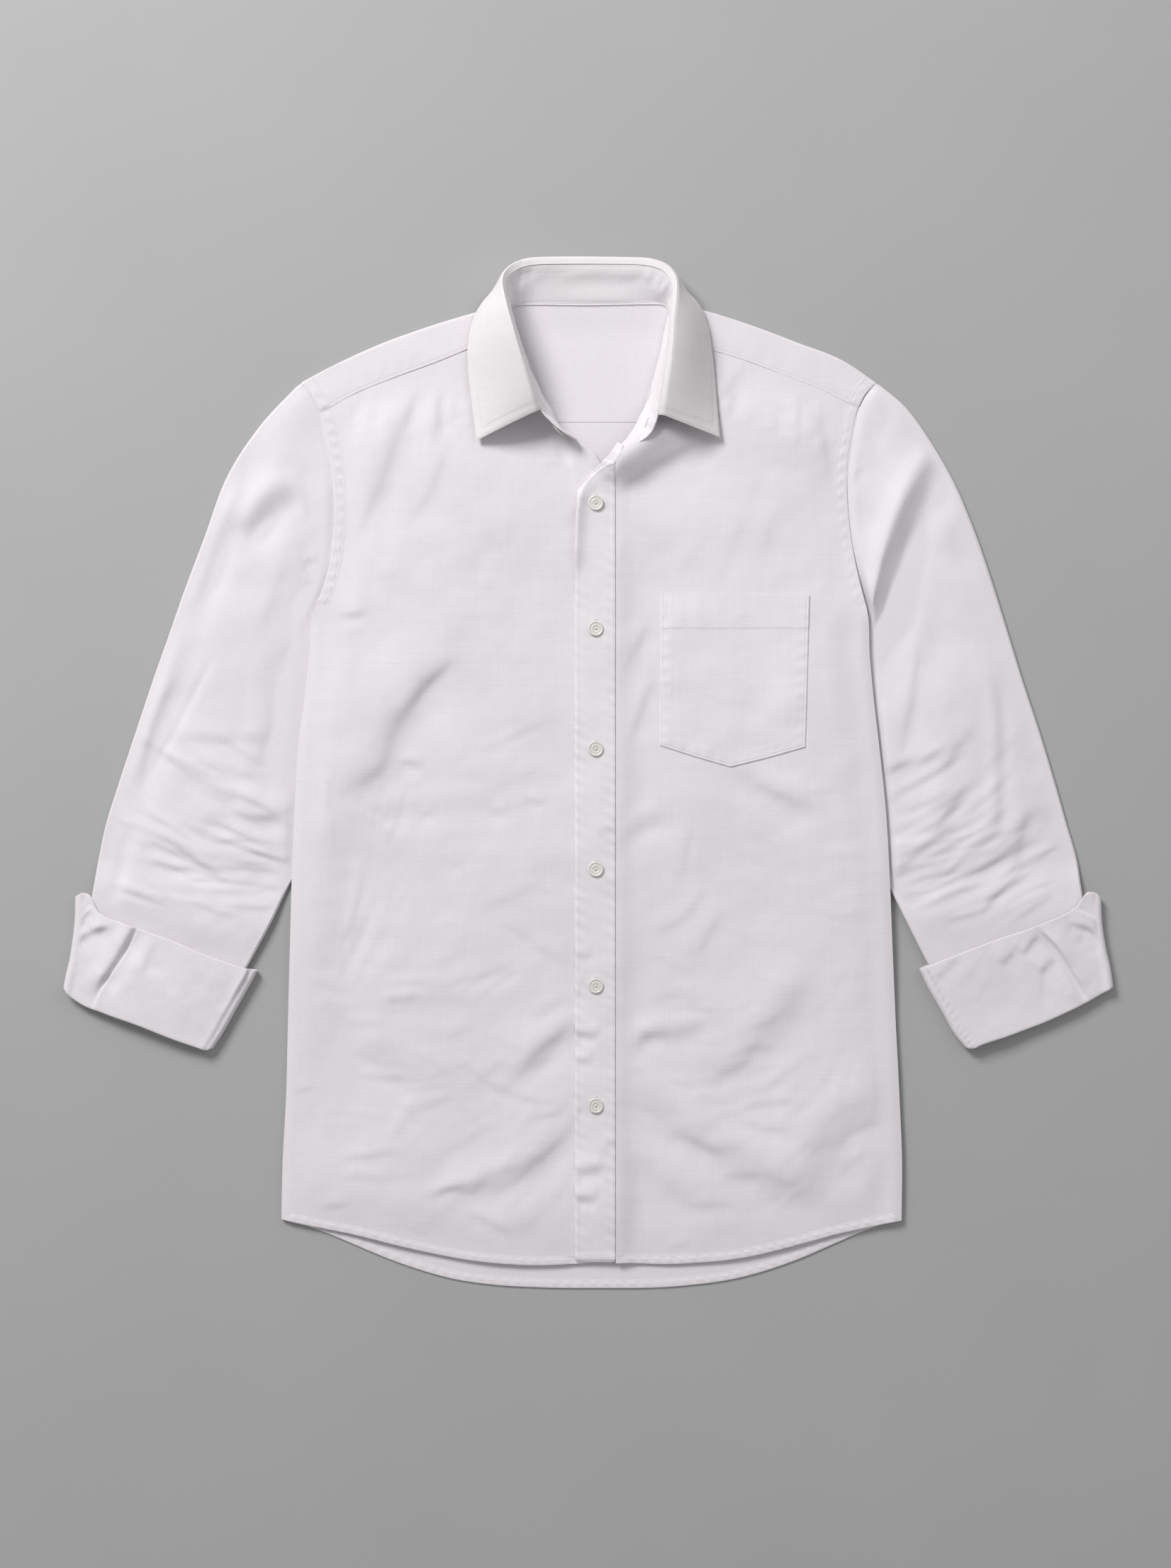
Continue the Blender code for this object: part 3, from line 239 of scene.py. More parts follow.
@dataclass(frozen=True)
class Crease:
    """A crease: its path in the photograph's pixels, and its section.

    width is the half width and depth the depth, in millimetres. A sharp fold is higher on
    the left of its path than on the right. A slope falls steeply towards the picture's
    lower right and comes back gently on both sides.
    """

    path: tuple[float, ...] | Grid
    width: float
    depth: float
    kind: Kind = Kind.SLOPE

    def add_to(self, total: Grid, x: Grid, y: Grid) -> None:
        """Adds the crease's height to `total` at the places (x, y)."""
        knots = from_photo(self.path)
        at = np.linspace(0, len(knots) - 1, 5 * (len(knots) - 1) + 1)
        path = curve(np.arange(len(knots)), knots, at)
        reach = REACH * self.width
        low, high = path.min(axis=0) - reach, path.max(axis=0) + reach
        near = (x > low[0]) & (x < high[0]) & (y > low[1]) & (y < high[1])
        if not near.any():
            return
        px, py = x[near], y[near]
        best, side, along = np.full_like(px, 1e9), np.zeros_like(px), np.zeros_like(px)
        lengths = np.hypot(*np.diff(path, axis=0).T)
        starts = np.concatenate(([0.0], np.cumsum(lengths)))
        for a, b, length, start in zip(path[:-1], path[1:], lengths, starts):
            step = (b - a) / max(length, 1e-6)
            dx, dy = px - a[0], py - a[1]
            t = np.clip(dx * step[0] + dy * step[1], 0.0, length)
            ex, ey = dx - t * step[0], dy - t * step[1]
            distance = np.hypot(ex, ey)
            closer = distance < best
            best = np.where(closer, distance, best)
            side = np.where(closer, np.sign(step[0] * ey - step[1] * ex), side)
            along = np.where(closer, (start + t) / starts[-1], along)
        ends = smooth(along / 0.3) * smooth((1.0 - along) / 0.3)
        cell = max(9.0, 2.6 * self.width)
        rough = 1.0 + 0.3 * soft_line(along * starts[-1], cell, int(path[0, 0]) % 97)
        way = path[-1] - path[0]
        if self.kind in (Kind.SLOPE, Kind.SOFT, Kind.CREST) and way[0] + way[1] <= 0.0:
            side = -side
        total[near] += self.depth * ends * rough * self.section(best, side)

    def section(self, distance: Grid, side: Grid) -> Grid:
        """Height across the crease at a distance and side of its path, for depth 1."""
        s = distance / self.width
        tail = smooth(1.8 - 1.8 * s / REACH)
        if self.kind is Kind.SLOPE:
            return side * 2.7 * s * np.exp(-s) * tail
        if self.kind is Kind.SOFT:
            return side * 1.65 * s * np.exp(-0.5 * s * s)
        if self.kind is Kind.CREST:
            return np.where(side < 0.0, np.exp(-s) * tail, np.exp(-0.5 * s * s))
        if self.kind is Kind.LINE:
            return -np.exp(-1.6 * s) * smooth(1.6 - 0.5 * s)
        if self.kind is Kind.FOLD:
            return 0.5 * side * np.tanh(distance / 0.45) * bell(s)
        return bell(s) if self.kind is Kind.RIDGE else -bell(s)


@dataclass(frozen=True)
class Fan:
    """A group of small creases that spread about one direction.

    centre is in the photograph's pixels, spread the half size of the field there in
    pixels, angle its direction in degrees from +X, turning left, and the lengths,
    widths and depths of its creases are in millimetres, each up to the value given.
    """

    centre: tuple[float, float]
    spread: tuple[float, float]
    angle: float
    turn: float
    length: float
    width: float
    depth: float
    count: int
    seed: int
    soft: bool = False

    def creases(self) -> list[Crease]:
        """The fan's creases, each with its own place, length, bend and depth."""
        draw = np.random.default_rng(self.seed)
        kinds = (Kind.SLOPE, Kind.SLOPE, Kind.RIDGE if self.soft else Kind.LINE)
        made = []
        for k in range(self.count):
            across, down = draw.uniform(-1.0, 1.0, 2)
            middle = np.array(self.centre) + np.array((across, down)) * self.spread
            angle = radians(self.angle + self.turn * across + draw.uniform(-9.0, 9.0))
            half = 0.5 * self.length * draw.uniform(0.45, 1.0) / PIXEL
            step = half * np.array((cos(angle), -sin(angle)))
            bow = draw.uniform(-0.12, 0.12) * np.array((-step[1], step[0]))
            path = np.concatenate((middle - step, middle + bow, middle + step))
            width = self.width * draw.uniform(0.5, 1.0)
            made.append(Crease(path, width, self.depth * draw.uniform(0.3, 1.0), kinds[k % 3]))
        return made


@dataclass
class Relief:
    """Creases, fans of creases and soft waves of one stretch of cloth."""

    creases: tuple[tuple, ...]
    fans: tuple[tuple, ...] = ()
    waves: tuple[tuple[float, float], ...] = WAVES
    seed: int = 1
    gain: float = 1.0

    def __post_init__(self) -> None:
        """Joins the fans' creases to those placed one by one."""
        self.every = [Crease(*row) for row in self.creases]
        for row in self.fans:
            self.every += Fan(*row).creases()

    def height(self, x: Grid, y: Grid) -> Grid:
        """Height of the creases and waves at (x, y), in millimetres."""
        total = np.zeros_like(x)
        for crease in self.every:
            crease.add_to(total, x, y)
        total *= self.gain
        for index, (cell, size) in enumerate(self.waves):
            total += size * soft_noise(x, y, cell, self.seed + 31 * index)
        return total


# Shape of the solids that the shells lie on

def body_side(sign: int, y: Grid) -> Grid:
    """x of the body's edge: on the viewer's left for sign -1, on the right for 1."""
    return BODY_EDGES.read("y", SIDE[sign], y)


def side_gap(x: Grid, y: Grid) -> Grid:
    """Distance from a point of the body to its nearer side edge."""
    return np.minimum(x - body_side(-1, y), body_side(1, y) - x)


def lift(x: Grid, y: Grid, ramp: float = STEP_RAMP) -> Grid:
    """Height of the body over the surface, where it lies on a sleeve."""
    left, right = (HIDDEN_SLEEVE.read("y", side, y) for side in ("left", "right"))
    return SLEEVE_STEP * smooth(1.0 - np.minimum(x - left, right - x) / ramp)


def seam_line(x: Grid) -> Grid:
    """y of the yoke's front seam above a point of a front."""
    return YOKE.read("seam_x", "seam_y", x)


def fullness(x: Grid, y: Grid) -> Grid:
    """How free the fronts are to rise off the back, 0 at their edges and 1 mid panel."""
    hem = y - HEMS.read("x", "front", x)
    full = smooth(side_gap(x, y) / 34.0) * (0.25 + 0.75 * smooth(hem / 60.0))
    full = full * smooth((seam_line(x) - y) / 50.0)
    neck = smooth(np.hypot(x / 90.0, (y - 330.0) / 120.0) - 0.35)
    return full * (0.35 + 0.65 * neck)


def round_off(height: Grid, most: float) -> Grid:
    """Height that eases off below zero and above `most`, so that layers never cross."""
    low = 0.5 * (height + np.sqrt(height * height + 0.05))
    return most - 0.5 * ((most - low) + np.sqrt((most - low) ** 2 + 0.05))


# Meshes

def points(x: Grid, y: Grid, z: Grid) -> Grid:
    """Grid of points from three grids of coordinates."""
    return np.stack(np.broadcast_arrays(x, y, z), axis=-1)


def on(top: Height, x: Grid, y: Grid, above: float = 0.0) -> Grid:
    """Points on a surface over the plan (x, y), or above it."""
    return points(x, y, top(x, y) + above)


def grid_normals(grid: Grid) -> Grid:
    """Unit normals of a grid of points, from the differences along its two ways."""
    return unit(np.cross(np.gradient(grid, axis=0), np.gradient(grid, axis=1)))


def add_mesh(name: str, verts: Grid, faces: Grid, finish: Finish) -> Piece:
    """Makes a mesh object at the origin, smooth with sharp edges at its borders.

    Args:
        name: Name of the object.
        verts: Points (n, 3) in millimetres.
        faces: Corners (m, k) of each face.
        finish: Finish of the surface.

    Returns:
        The new object, linked to the scene.
    """
    verts = np.asarray(verts, dtype=float).reshape(-1, 3) * MM
    faces = np.asarray(faces, dtype=np.int32)
    mesh = bpy.data.meshes.new(name)
    mesh.vertices.add(len(verts))
    mesh.vertices.foreach_set("co", verts.ravel())
    mesh.loops.add(faces.size)
    mesh.loops.foreach_set("vertex_index", faces.ravel())
    mesh.polygons.add(len(faces))
    starts = np.arange(0, faces.size, faces.shape[1], dtype=np.int32)
    mesh.polygons.foreach_set("loop_start", starts)
    mesh.update(calc_edges=True)
    mesh.validate()
    mesh.shade_smooth()
    mesh.set_sharp_from_angle(angle=SHARP_ANGLE)
    mesh.materials.append(finish.material())
    piece = bpy.data.objects.new(name, mesh)
    bpy.context.scene.collection.objects.link(piece)
    return piece


def shell_faces(rows: int, cols: int, ring: bool, keep: Grid | None) -> Grid:
    """Corners of the faces of a closed shell between two grids.

    Every kept cell gives one face of each side, and every free edge one face between
    the sides.

    Args:
        rows: Rows of each grid.
        cols: Points in a row.
        ring: Whether a row closes on itself.
        keep: Which cells are cloth, or None for all of them.

    Returns:
        Array (n, 4) of corners, with the second grid's points after the first's.
    """
    index = np.arange(rows * cols).reshape(rows, cols)
    if ring:
        index = np.concatenate((index, index[:, :1]), axis=1)
    quads = np.stack((index[:-1, :-1], index[1:, :-1], index[1:, 1:], index[:-1, 1:]), axis=-1)
    quads = quads[keep] if keep is not None else quads.reshape(-1, 4)
    edges = np.concatenate([quads[:, (k, (k + 1) % 4)] for k in range(4)])
    total = rows * cols
    paired = np.isin(edges[:, 0] * total + edges[:, 1], edges[:, 1] * total + edges[:, 0])
    free = edges[~paired]
    rim = np.stack((free[:, 1], free[:, 0], free[:, 0] + total, free[:, 1] + total), axis=-1)
    return np.concatenate((quads, quads[:, ::-1] + total, rim))


def cloth_shell(name: str, node: str, over: Grid, under: Grid | float, finish: Finish,
                ring: bool = False, keep: Grid | None = None) -> Piece:
    """Makes a closed shell of cloth between two grids of points.

    Args:
        name: Name of the piece.
        node: Solid that it replaces, or nothing.
        over: Outer side of the cloth, points (rows, columns, 3) in millimetres.
        under: Its inner side, or how far straight below that lies.
        finish: Finish of the cloth.
        ring: Whether each row closes on itself.
        keep: Which cells are cloth, or None for all of them.

    Returns:
        The piece, with its normals outwards.
    """
    under = over - under * UP if np.ndim(under) == 0 else under
    faces = shell_faces(*over.shape[:2], ring, keep)
    if np.sum(grid_normals(over) * (over - under)) <= 0:
        faces = faces[:, ::-1]
    verts = np.concatenate((over.reshape(-1, 3), under.reshape(-1, 3)))
    used = np.unique(faces)
    fresh = np.full(len(verts), -1)
    fresh[used] = np.arange(len(used))
    piece = add_mesh(name, verts[used], fresh[faces], finish)
    if node:
        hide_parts(node)
    return piece


def tube(path: Grid, radius: float, closed: bool = False, sides: int = 6) -> Mesh:
    """Points and four-cornered faces of a thin tube along a path of points (n, 3)."""
    ways = np.roll(path, -1, 0) - np.roll(path, 1, 0) if closed else np.gradient(path, axis=0)
    aside = unit(np.cross(ways, UP))
    up = unit(np.cross(aside, ways))
    turn = np.linspace(0.0, 2.0 * pi, sides, endpoint=False)[None, :, None]
    size = np.full((len(path), 1, 1), radius)
    if not closed:
        size[[0, -1]] *= 0.1
    grid = path[:, None] + size * (np.cos(turn) * aside[:, None] + np.sin(turn) * up[:, None])
    index = np.arange(len(path) * sides).reshape(-1, sides)
    rows = np.concatenate((index, index[:1])) if closed else index
    quads = np.stack((rows[:-1], rows[1:], np.roll(rows[1:], -1, 1), np.roll(rows[:-1], -1, 1)), -1)
    return grid.reshape(-1, 3), quads.reshape(-1, 4)


def add_tubes(name: str, tubes: list[Mesh], finish: Finish) -> Piece:
    """Makes one piece of several meshes of points and faces."""
    starts = np.cumsum([0] + [len(grid) for grid, _ in tubes])
    faces = [corners + start for (_, corners), start in zip(tubes, starts)]
    verts = np.concatenate([grid for grid, _ in tubes])
    return add_mesh(name, verts, np.concatenate(faces), finish)


def slit(width: float, power: float, half: float, count: int) -> tuple[Grid, Grid]:
    """Places across and along the edge of a buttonhole, a long ring with round ends."""
    t = np.linspace(0.0, 2.0 * pi, count, endpoint=False)
    return width * np.sign(np.sin(t)) * np.abs(np.sin(t)) ** power, half * np.cos(t)


@dataclass(frozen=True)
class Finish:
    """A surface finish: its material's name, colour and roughness."""

    name: str
    colour: tuple[float, float, float, float]
    roughness: float

    def material(self) -> bpy.types.Material:
        """The finish's material, made once."""
        found = bpy.data.materials.get(self.name)
        if found:
            return found
        made = bpy.data.materials.new(self.name)
        made.use_nodes = True
        tree = made.node_tree
        shader = tree.nodes["Principled BSDF"]
        shader.inputs["Base Color"].default_value = self.colour
        shader.inputs["Roughness"].default_value = self.roughness
        self.dress(tree, shader)
        made.diffuse_color = self.colour
        return made

    def dress(self, tree: bpy.types.NodeTree, shader: bpy.types.Node) -> None:
        """Adds the nodes of a special finish; a plain one has none."""

    @staticmethod
    def noise(tree: bpy.types.NodeTree, scale: tuple[float, float, float], turn: float,
              detail: float) -> Socket:
        """Adds noise in the frame's own axes.

        Args:
            tree: Node tree of the material.
            scale: Noise cells in a metre, along each axis.
            turn: Turn about +Z in radians of the direction that the noise follows.
            detail: Octaves of the noise.

        Returns:
            The noise's output, from 0 to 1.
        """
        link = tree.nodes.new("ShaderNodeTexCoord").outputs["Object"]
        for kind, values in (("Mapping", {"Rotation": (0.0, 0.0, turn)}),
                             ("Mapping", {"Scale": scale}),
                             ("TexNoise", {"Scale": 1.0, "Detail": detail})):
            node = tree.nodes.new(f"ShaderNode{kind}")
            for name, value in values.items():
                node.inputs[name].default_value = value
            tree.links.new(link, node.inputs["Vector"])
            link = node.outputs[0]
        return link

    @staticmethod
    def math(tree: bpy.types.NodeTree, what: str, one: Socket, two: Socket | float) -> Socket:
        """Adds a Math node of a socket and a socket or value, and gives its output."""
        node = tree.nodes.new("ShaderNodeMath")
        node.operation = what
        tree.links.new(one, node.inputs[0])
        if isinstance(two, float):
            node.inputs[1].default_value = two
        else:
            tree.links.new(two, node.inputs[1])
        return node.outputs[0]

    def blend(self, tree: bpy.types.NodeTree, shader: bpy.types.Node, share: Socket, dark: float,
              light: float) -> None:
        """Lets the colour run between two shades of itself."""
        mix = tree.nodes.new("ShaderNodeMix")
        mix.data_type = "RGBA"
        for slot, shade in ((6, dark), (7, light)):
            colour = [min(1.0, value * shade) for value in self.colour[:3]]
            mix.inputs[slot].default_value = (*colour, 1.0)
        tree.links.new(share, mix.inputs[0])
        tree.links.new(mix.outputs[2], shader.inputs["Base Color"])


@dataclass(frozen=True)
class Cotton(Finish):
    """Woven cotton: fine threads and uneven slubs both ways, with a faint sheen."""

    turn: float = 0.0
    thread: float = 0.0007
    slub: float = 0.0022
    depth: float = 0.00012
    shade: float = 0.09
    sheen: float = 0.12

    def dress(self, tree: bpy.types.NodeTree, shader: bpy.types.Node) -> None:
        """Adds thread and slub noise to the colour and to the surface."""
        sums = []
        for cell, stretch, detail in ((self.thread, 22.0, 1.0), (self.slub, 26.0, 2.0)):
            fine, long = 1.0 / cell, 1.0 / (stretch * cell)
            warp = self.noise(tree, (fine, long, long), self.turn, detail)
            weft = self.noise(tree, (long, fine, long), self.turn, detail)
            sums.append(self.math(tree, "ADD", warp, weft))
        weave = self.math(tree, "ADD", *sums)
        share = self.math(tree, "MULTIPLY", weave, 0.25)
        self.blend(tree, shader, share, 1.0 - self.shade, 1.0 + self.shade)
        for name, value in (("Sheen Weight", self.sheen), ("Sheen Roughness", 0.5),
                            ("Specular IOR Level", 0.25)):
            shader.inputs[name].default_value = value
        bump = tree.nodes.new("ShaderNodeBump")
        bump.inputs["Strength"].default_value = 0.5
        bump.inputs["Distance"].default_value = self.depth
        tree.links.new(weave, bump.inputs["Height"])
        tree.links.new(bump.outputs["Normal"], shader.inputs["Normal"])


@dataclass(frozen=True)
class Shell(Finish):
    """Pearly button shell: polished, with faint clouds in its colour."""

    def dress(self, tree: bpy.types.NodeTree, shader: bpy.types.Node) -> None:
        """Adds clouds to the colour, and a thin clear coat."""
        self.blend(tree, shader, self.noise(tree, (260.0, 260.0, 260.0), 0.6, 3.0), 0.90, 1.07)
        shader.inputs["Coat Weight"].default_value = 0.2
        shader.inputs["Coat Roughness"].default_value = 0.2


@dataclass(frozen=True)
class Surface(Finish):
    """Plain pale surface under the shirt, with the faintest mottling."""

    def dress(self, tree: bpy.types.NodeTree, shader: bpy.types.Node) -> None:
        """Adds soft mottling to the colour."""
        self.blend(tree, shader, self.noise(tree, (5.0, 5.0, 5.0), 0.0, 4.0), 0.95, 1.03)


WHITE = (0.778, 0.747, 0.77, 1.0)
SLEEVE_TURN = radians(19.0)
SHIRTING = Cotton("white_shirting_cloth", WHITE, 0.88)
DOUBLED = Cotton("doubled_shirting", (0.798, 0.768, 0.788, 1.0), 0.88)
SLEEVE_CLOTH = {sign: Cotton(f"sleeve_cloth_{side}", WHITE, 0.88, turn=sign * SLEEVE_TURN,
                             depth=0.00011, shade=0.07) for sign, side in SIDE.items()}
YOKE_CLOTH = Cotton("yoke_cloth", WHITE, 0.88, turn=radians(4.0))
# Collar cloth a little lighter than the shirt's: painted light that lifts the shade on the collar
COLLAR_CLOTH_PAINTED_LIGHT = Cotton("collar_cotton_painted_light", (0.795, 0.767, 0.775, 1.0), 0.86)
# Stand cloth lighter still: painted light for the stand's inner face, which turns away from the key
# lamp; the neck seam cord shares it
STAND_CLOTH_PAINTED_LIGHT = Cotton("stand_cotton_painted_light", (0.822, 0.794, 0.81, 1.0), 0.86)
THREAD = Finish("white_thread", (0.79, 0.77, 0.785, 1.0), 0.8)
BUTTON_SHELL = Shell("pearl_button", (0.74, 0.72, 0.685, 1.0), 0.38)
PALE_SURFACE = Surface("pale_surface", (0.42, 0.42, 0.42, 1.0), 0.7)


# Sizes as in the solids; the top of the collar and the folds of the cuffs are nearer the photo
# Side edges of the body: armhole above the armpit, side seam below
BODY_EDGES = Table("y left right", (
    (-346, -237.8, 242.5), (-301, -236.8, 242.8), (-252, -234.3, 240.9), (-191, -232.7, 237.9),
    (-133, -231, 235.2), (-84, -229.7, 233.2), (-33, -227.6, 230.4), (21, -224.5, 224.9),
    (62, -219.2, 220.2), (91, -216.2, 217.6), (126.4, -212.5, 215.4), (138.3, -207.2, 212.3),
    (153.8, -202.4, 208.6), (186.4, -197.3, 203), (217.3, -197, 200.4), (242.5, -199.3, 200.9),
    (262.6, -203.6, 204.3), (279.7, -208, 208), (292, -214.6, 213.8), (302.8, -222.3, 222.6),
))
# Curved hems: the back hangs lower than the fronts
HEMS = Table("x front back", (
    (-238, -346, -346.4), (-223, -349.6, -350.2), (-199, -354.4, -358.7), (-178, -358.7, -367.6),
    (-157, -364, -376.4), (-134.6, -369.5, -384.5), (-105.6, -375.5, -392.6),
    (-78, -379.5, -396.9), (-37.7, -381.7, -399.4), (5.5, -379.6, -399.9), (69.2, -380.6, -398.5),
    (118.4, -376.1, -391.6), (164.1, -365.4, -377), (191.4, -357.9, -365.1),
    (224.2, -350.6, -351.6), (242.8, -346.6, -346.8),
))
# Shoulder fold and the yoke's front seam, armhole to neck
YOKE_NAMES = "fold_x fold_y seam_x seam_y"
YOKE_LEFT = Table(YOKE_NAMES, (
    (-222.3, 302.8, -208, 279.9), (-198.4, 315.5, -184, 293.4), (-161, 332.6, -150, 307.6),
    (-125, 345.6, -118, 319.4), (-96, 354.6, -90, 330.8), (-64, 363.6, -59, 341.5),
))
YOKE_RIGHT = Table(YOKE_NAMES, (
    (222.6, 302.8, 208, 284), (198.4, 319.1, 184, 296.4), (161, 334, 150, 310),
    (126.5, 347, 119, 321.4), (97, 356.5, 91, 329.8), (66, 364.6, 61, 338),
))
YOKE = Table(YOKE_NAMES, YOKE_LEFT.rows + YOKE_RIGHT.rows)
# Neck edge of each front, centre front to yoke seam
NECK_LEFT = Table("x y", (
    (18, 226), (9.9, 239), (2.8, 249.5), (-8.3, 257.2), (-21, 267), (-31, 282), (-40, 301),
    (-48, 321), (-55, 341.5),
))
NECK_RIGHT = Table("x y", (
    (21.3, 238), (24, 247.5), (29.5, 257.5), (36, 268), (43, 282), (49, 300), (54, 320),
    (57.5, 338),
))
# Free edge of the placket, hem to neck
PLACKET_EDGE = Table("y free_x", (
    (-377.6, -10.3), (-250, -10.5), (-120, -10.2), (20, -10.4), (150, -10.3), (190, -9.9),
    (207, -8.8), (215.3, -7.2), (223, -3.3), (229, 1.7), (233.8, 10), (236.8, 17.5),
))
# Bottom and top of the patch pocket, side by side
POCKET = Table("bottom_x bottom_y top_x top_y", (
    (55.5, 20.8, 56.4, 138.1), (82, 12.2, 84, 138), (109.9, 4.1, 112, 137.7),
    (138, 11, 141, 137.4), (167.8, 19.5, 171.2, 137.1),
))
# Where the sleeves under the body end
HIDDEN_SLEEVE = Table("y left right", (
    (-190, -285, 290), (-147, -254, 257), (-110, -230, 234), (-84, -212, 217), (-60, -199, 203),
    (-27, -191, 195), (14, -186, 189), (50, -187, 190), (80, -192, 195), (98, -197, 200),
    (119, -203.5, 208), (130, -210, 215), (146, -232, 236), (200, -300, 300),
))
# Sections of the sleeves and of the cuffs turned back over them: their two folds, how
# far a section follows the armhole, its fullness and its rise
FOLD_NAMES = "outer_x outer_y inner_x inner_y"
SLEEVE_NAMES = FOLD_NAMES + " follow puff rise"
SLEEVE_LEFT = Table(SLEEVE_NAMES, (
    (-223.1, 302.8, -213.2, 126.4, 1, 0.4), (-255, 268.5, -213.6, 123.6, 0.8, 0.8),
    (-280.5, 229, -213.2, 119, 0.55, 1), (-297.8, 182.4, -209.5, 110.5, 0.32, 1),
    (-312.6, 143, -203.5, 98, 0.15, 1), (-325, 107.5, -199, 80, 0.05, 1),
    (-337.5, 72, -194, 50, 0, 1), (-351.5, 30, -193, 14, 0, 1), (-365, -11, -199, -27, 0, 1),
    (-374, -40, -212, -58, 0, 1), (-379.5, -66, -231, -86, 0, 0.8),
    (-383, -88, -245.5, -116.3, 0, 0.4, 2.8), (-387.5, -113, -262.5, -147.5, 0, 0, 2.8),
    (-393, -137, -276, -172, 0, 0, 2.8), (-398.5, -160, -292, -201, 0, 0, 2.8),
))
SLEEVE_RIGHT = Table(SLEEVE_NAMES, (
    (223.4, 302.8, 216.1, 126.4, 1, 0.4), (250, 278.8, 216.6, 123.6, 0.8, 0.8),
    (279, 234, 216.2, 119, 0.55, 1), (297, 194, 212.5, 110.5, 0.32, 1),
    (311.5, 153, 206.5, 98, 0.15, 1), (325.5, 108.4, 202, 80, 0.05, 1), (337, 71, 197, 50, 0, 1),
    (350.5, 30, 196, 14, 0, 1), (362.8, -11, 202, -27, 0, 1), (371, -40, 215, -58, 0, 1),
    (378.5, -66, 232.5, -88, 0, 0.8), (381.5, -88, 246.5, -116, 0, 0.4, 2.8),
    (386, -111, 262.5, -147.5, 0, 0, 2.8), (392.5, -135, 276, -172, 0, 0, 2.8),
    (397.5, -158, 293, -201, 0, 0, 2.8),
))
CUFF_LEFT = Table(FOLD_NAMES, (
    (-397.2, -96.4, -255.9, -153.2), (-397.9, -117, -262.8, -166), (-401.3, -142.3, -274, -186),
    (-404.6, -157, -283, -202), (-406.4, -166.6, -290.5, -213.4),
))
CUFF_RIGHT = Table(FOLD_NAMES, (
    (396.9, -97, 256, -152.2), (397.9, -117, 263.5, -167.6), (400.9, -136, 274, -186),
    (404.3, -151, 283, -202), (406.4, -165.8, 291.5, -212.8),
))
# Ends of the cuffs, at shares of the way along
FREE_EDGE_LEFT = Table("along x y", (
    (0, -397.2, -96.4), (0.04, -391.4, -93.2), (0.09, -385.6, -95.6), (0.16, -378.8, -107),
    (0.3, -356, -117.6), (0.5, -325, -128.4), (0.75, -290.4, -142.6), (0.92, -265, -151.2),
    (1, -255.9, -153.2),
))
FREE_EDGE_RIGHT = Table("along x y", (
    (0, 396.9, -97), (0.04, 391.5, -92.6), (0.09, 384.6, -93.6), (0.16, 376.6, -103.8),
    (0.3, 352, -116.2), (0.5, 318, -128), (0.75, 284, -140.8), (0.92, 264, -148.6),
    (1, 256, -152.2),
))
FOLD_EDGE_LEFT = Table("along x y", (
    (0, -406.4, -166.6), (0.05, -401.5, -172.5), (0.11, -394, -178), (0.26, -375.7, -185.4),
    (0.5, -348.4, -194.8), (0.72, -323, -204.7), (0.9, -302.4, -211.8), (0.96, -295.5, -213.9),
    (1, -290.5, -212.6),
))
FOLD_EDGE_RIGHT = Table("along x y", (
    (0, 406.4, -165.8), (0.08, 397.4, -170.9), (0.16, 388, -176.2), (0.33, 368.6, -185.7),
    (0.47, 352.4, -192.8), (0.6, 337.4, -198.4), (0.73, 322.4, -203.7), (0.88, 305.4, -209.2),
    (0.96, 295.6, -212.8), (1, 291.5, -212),
))
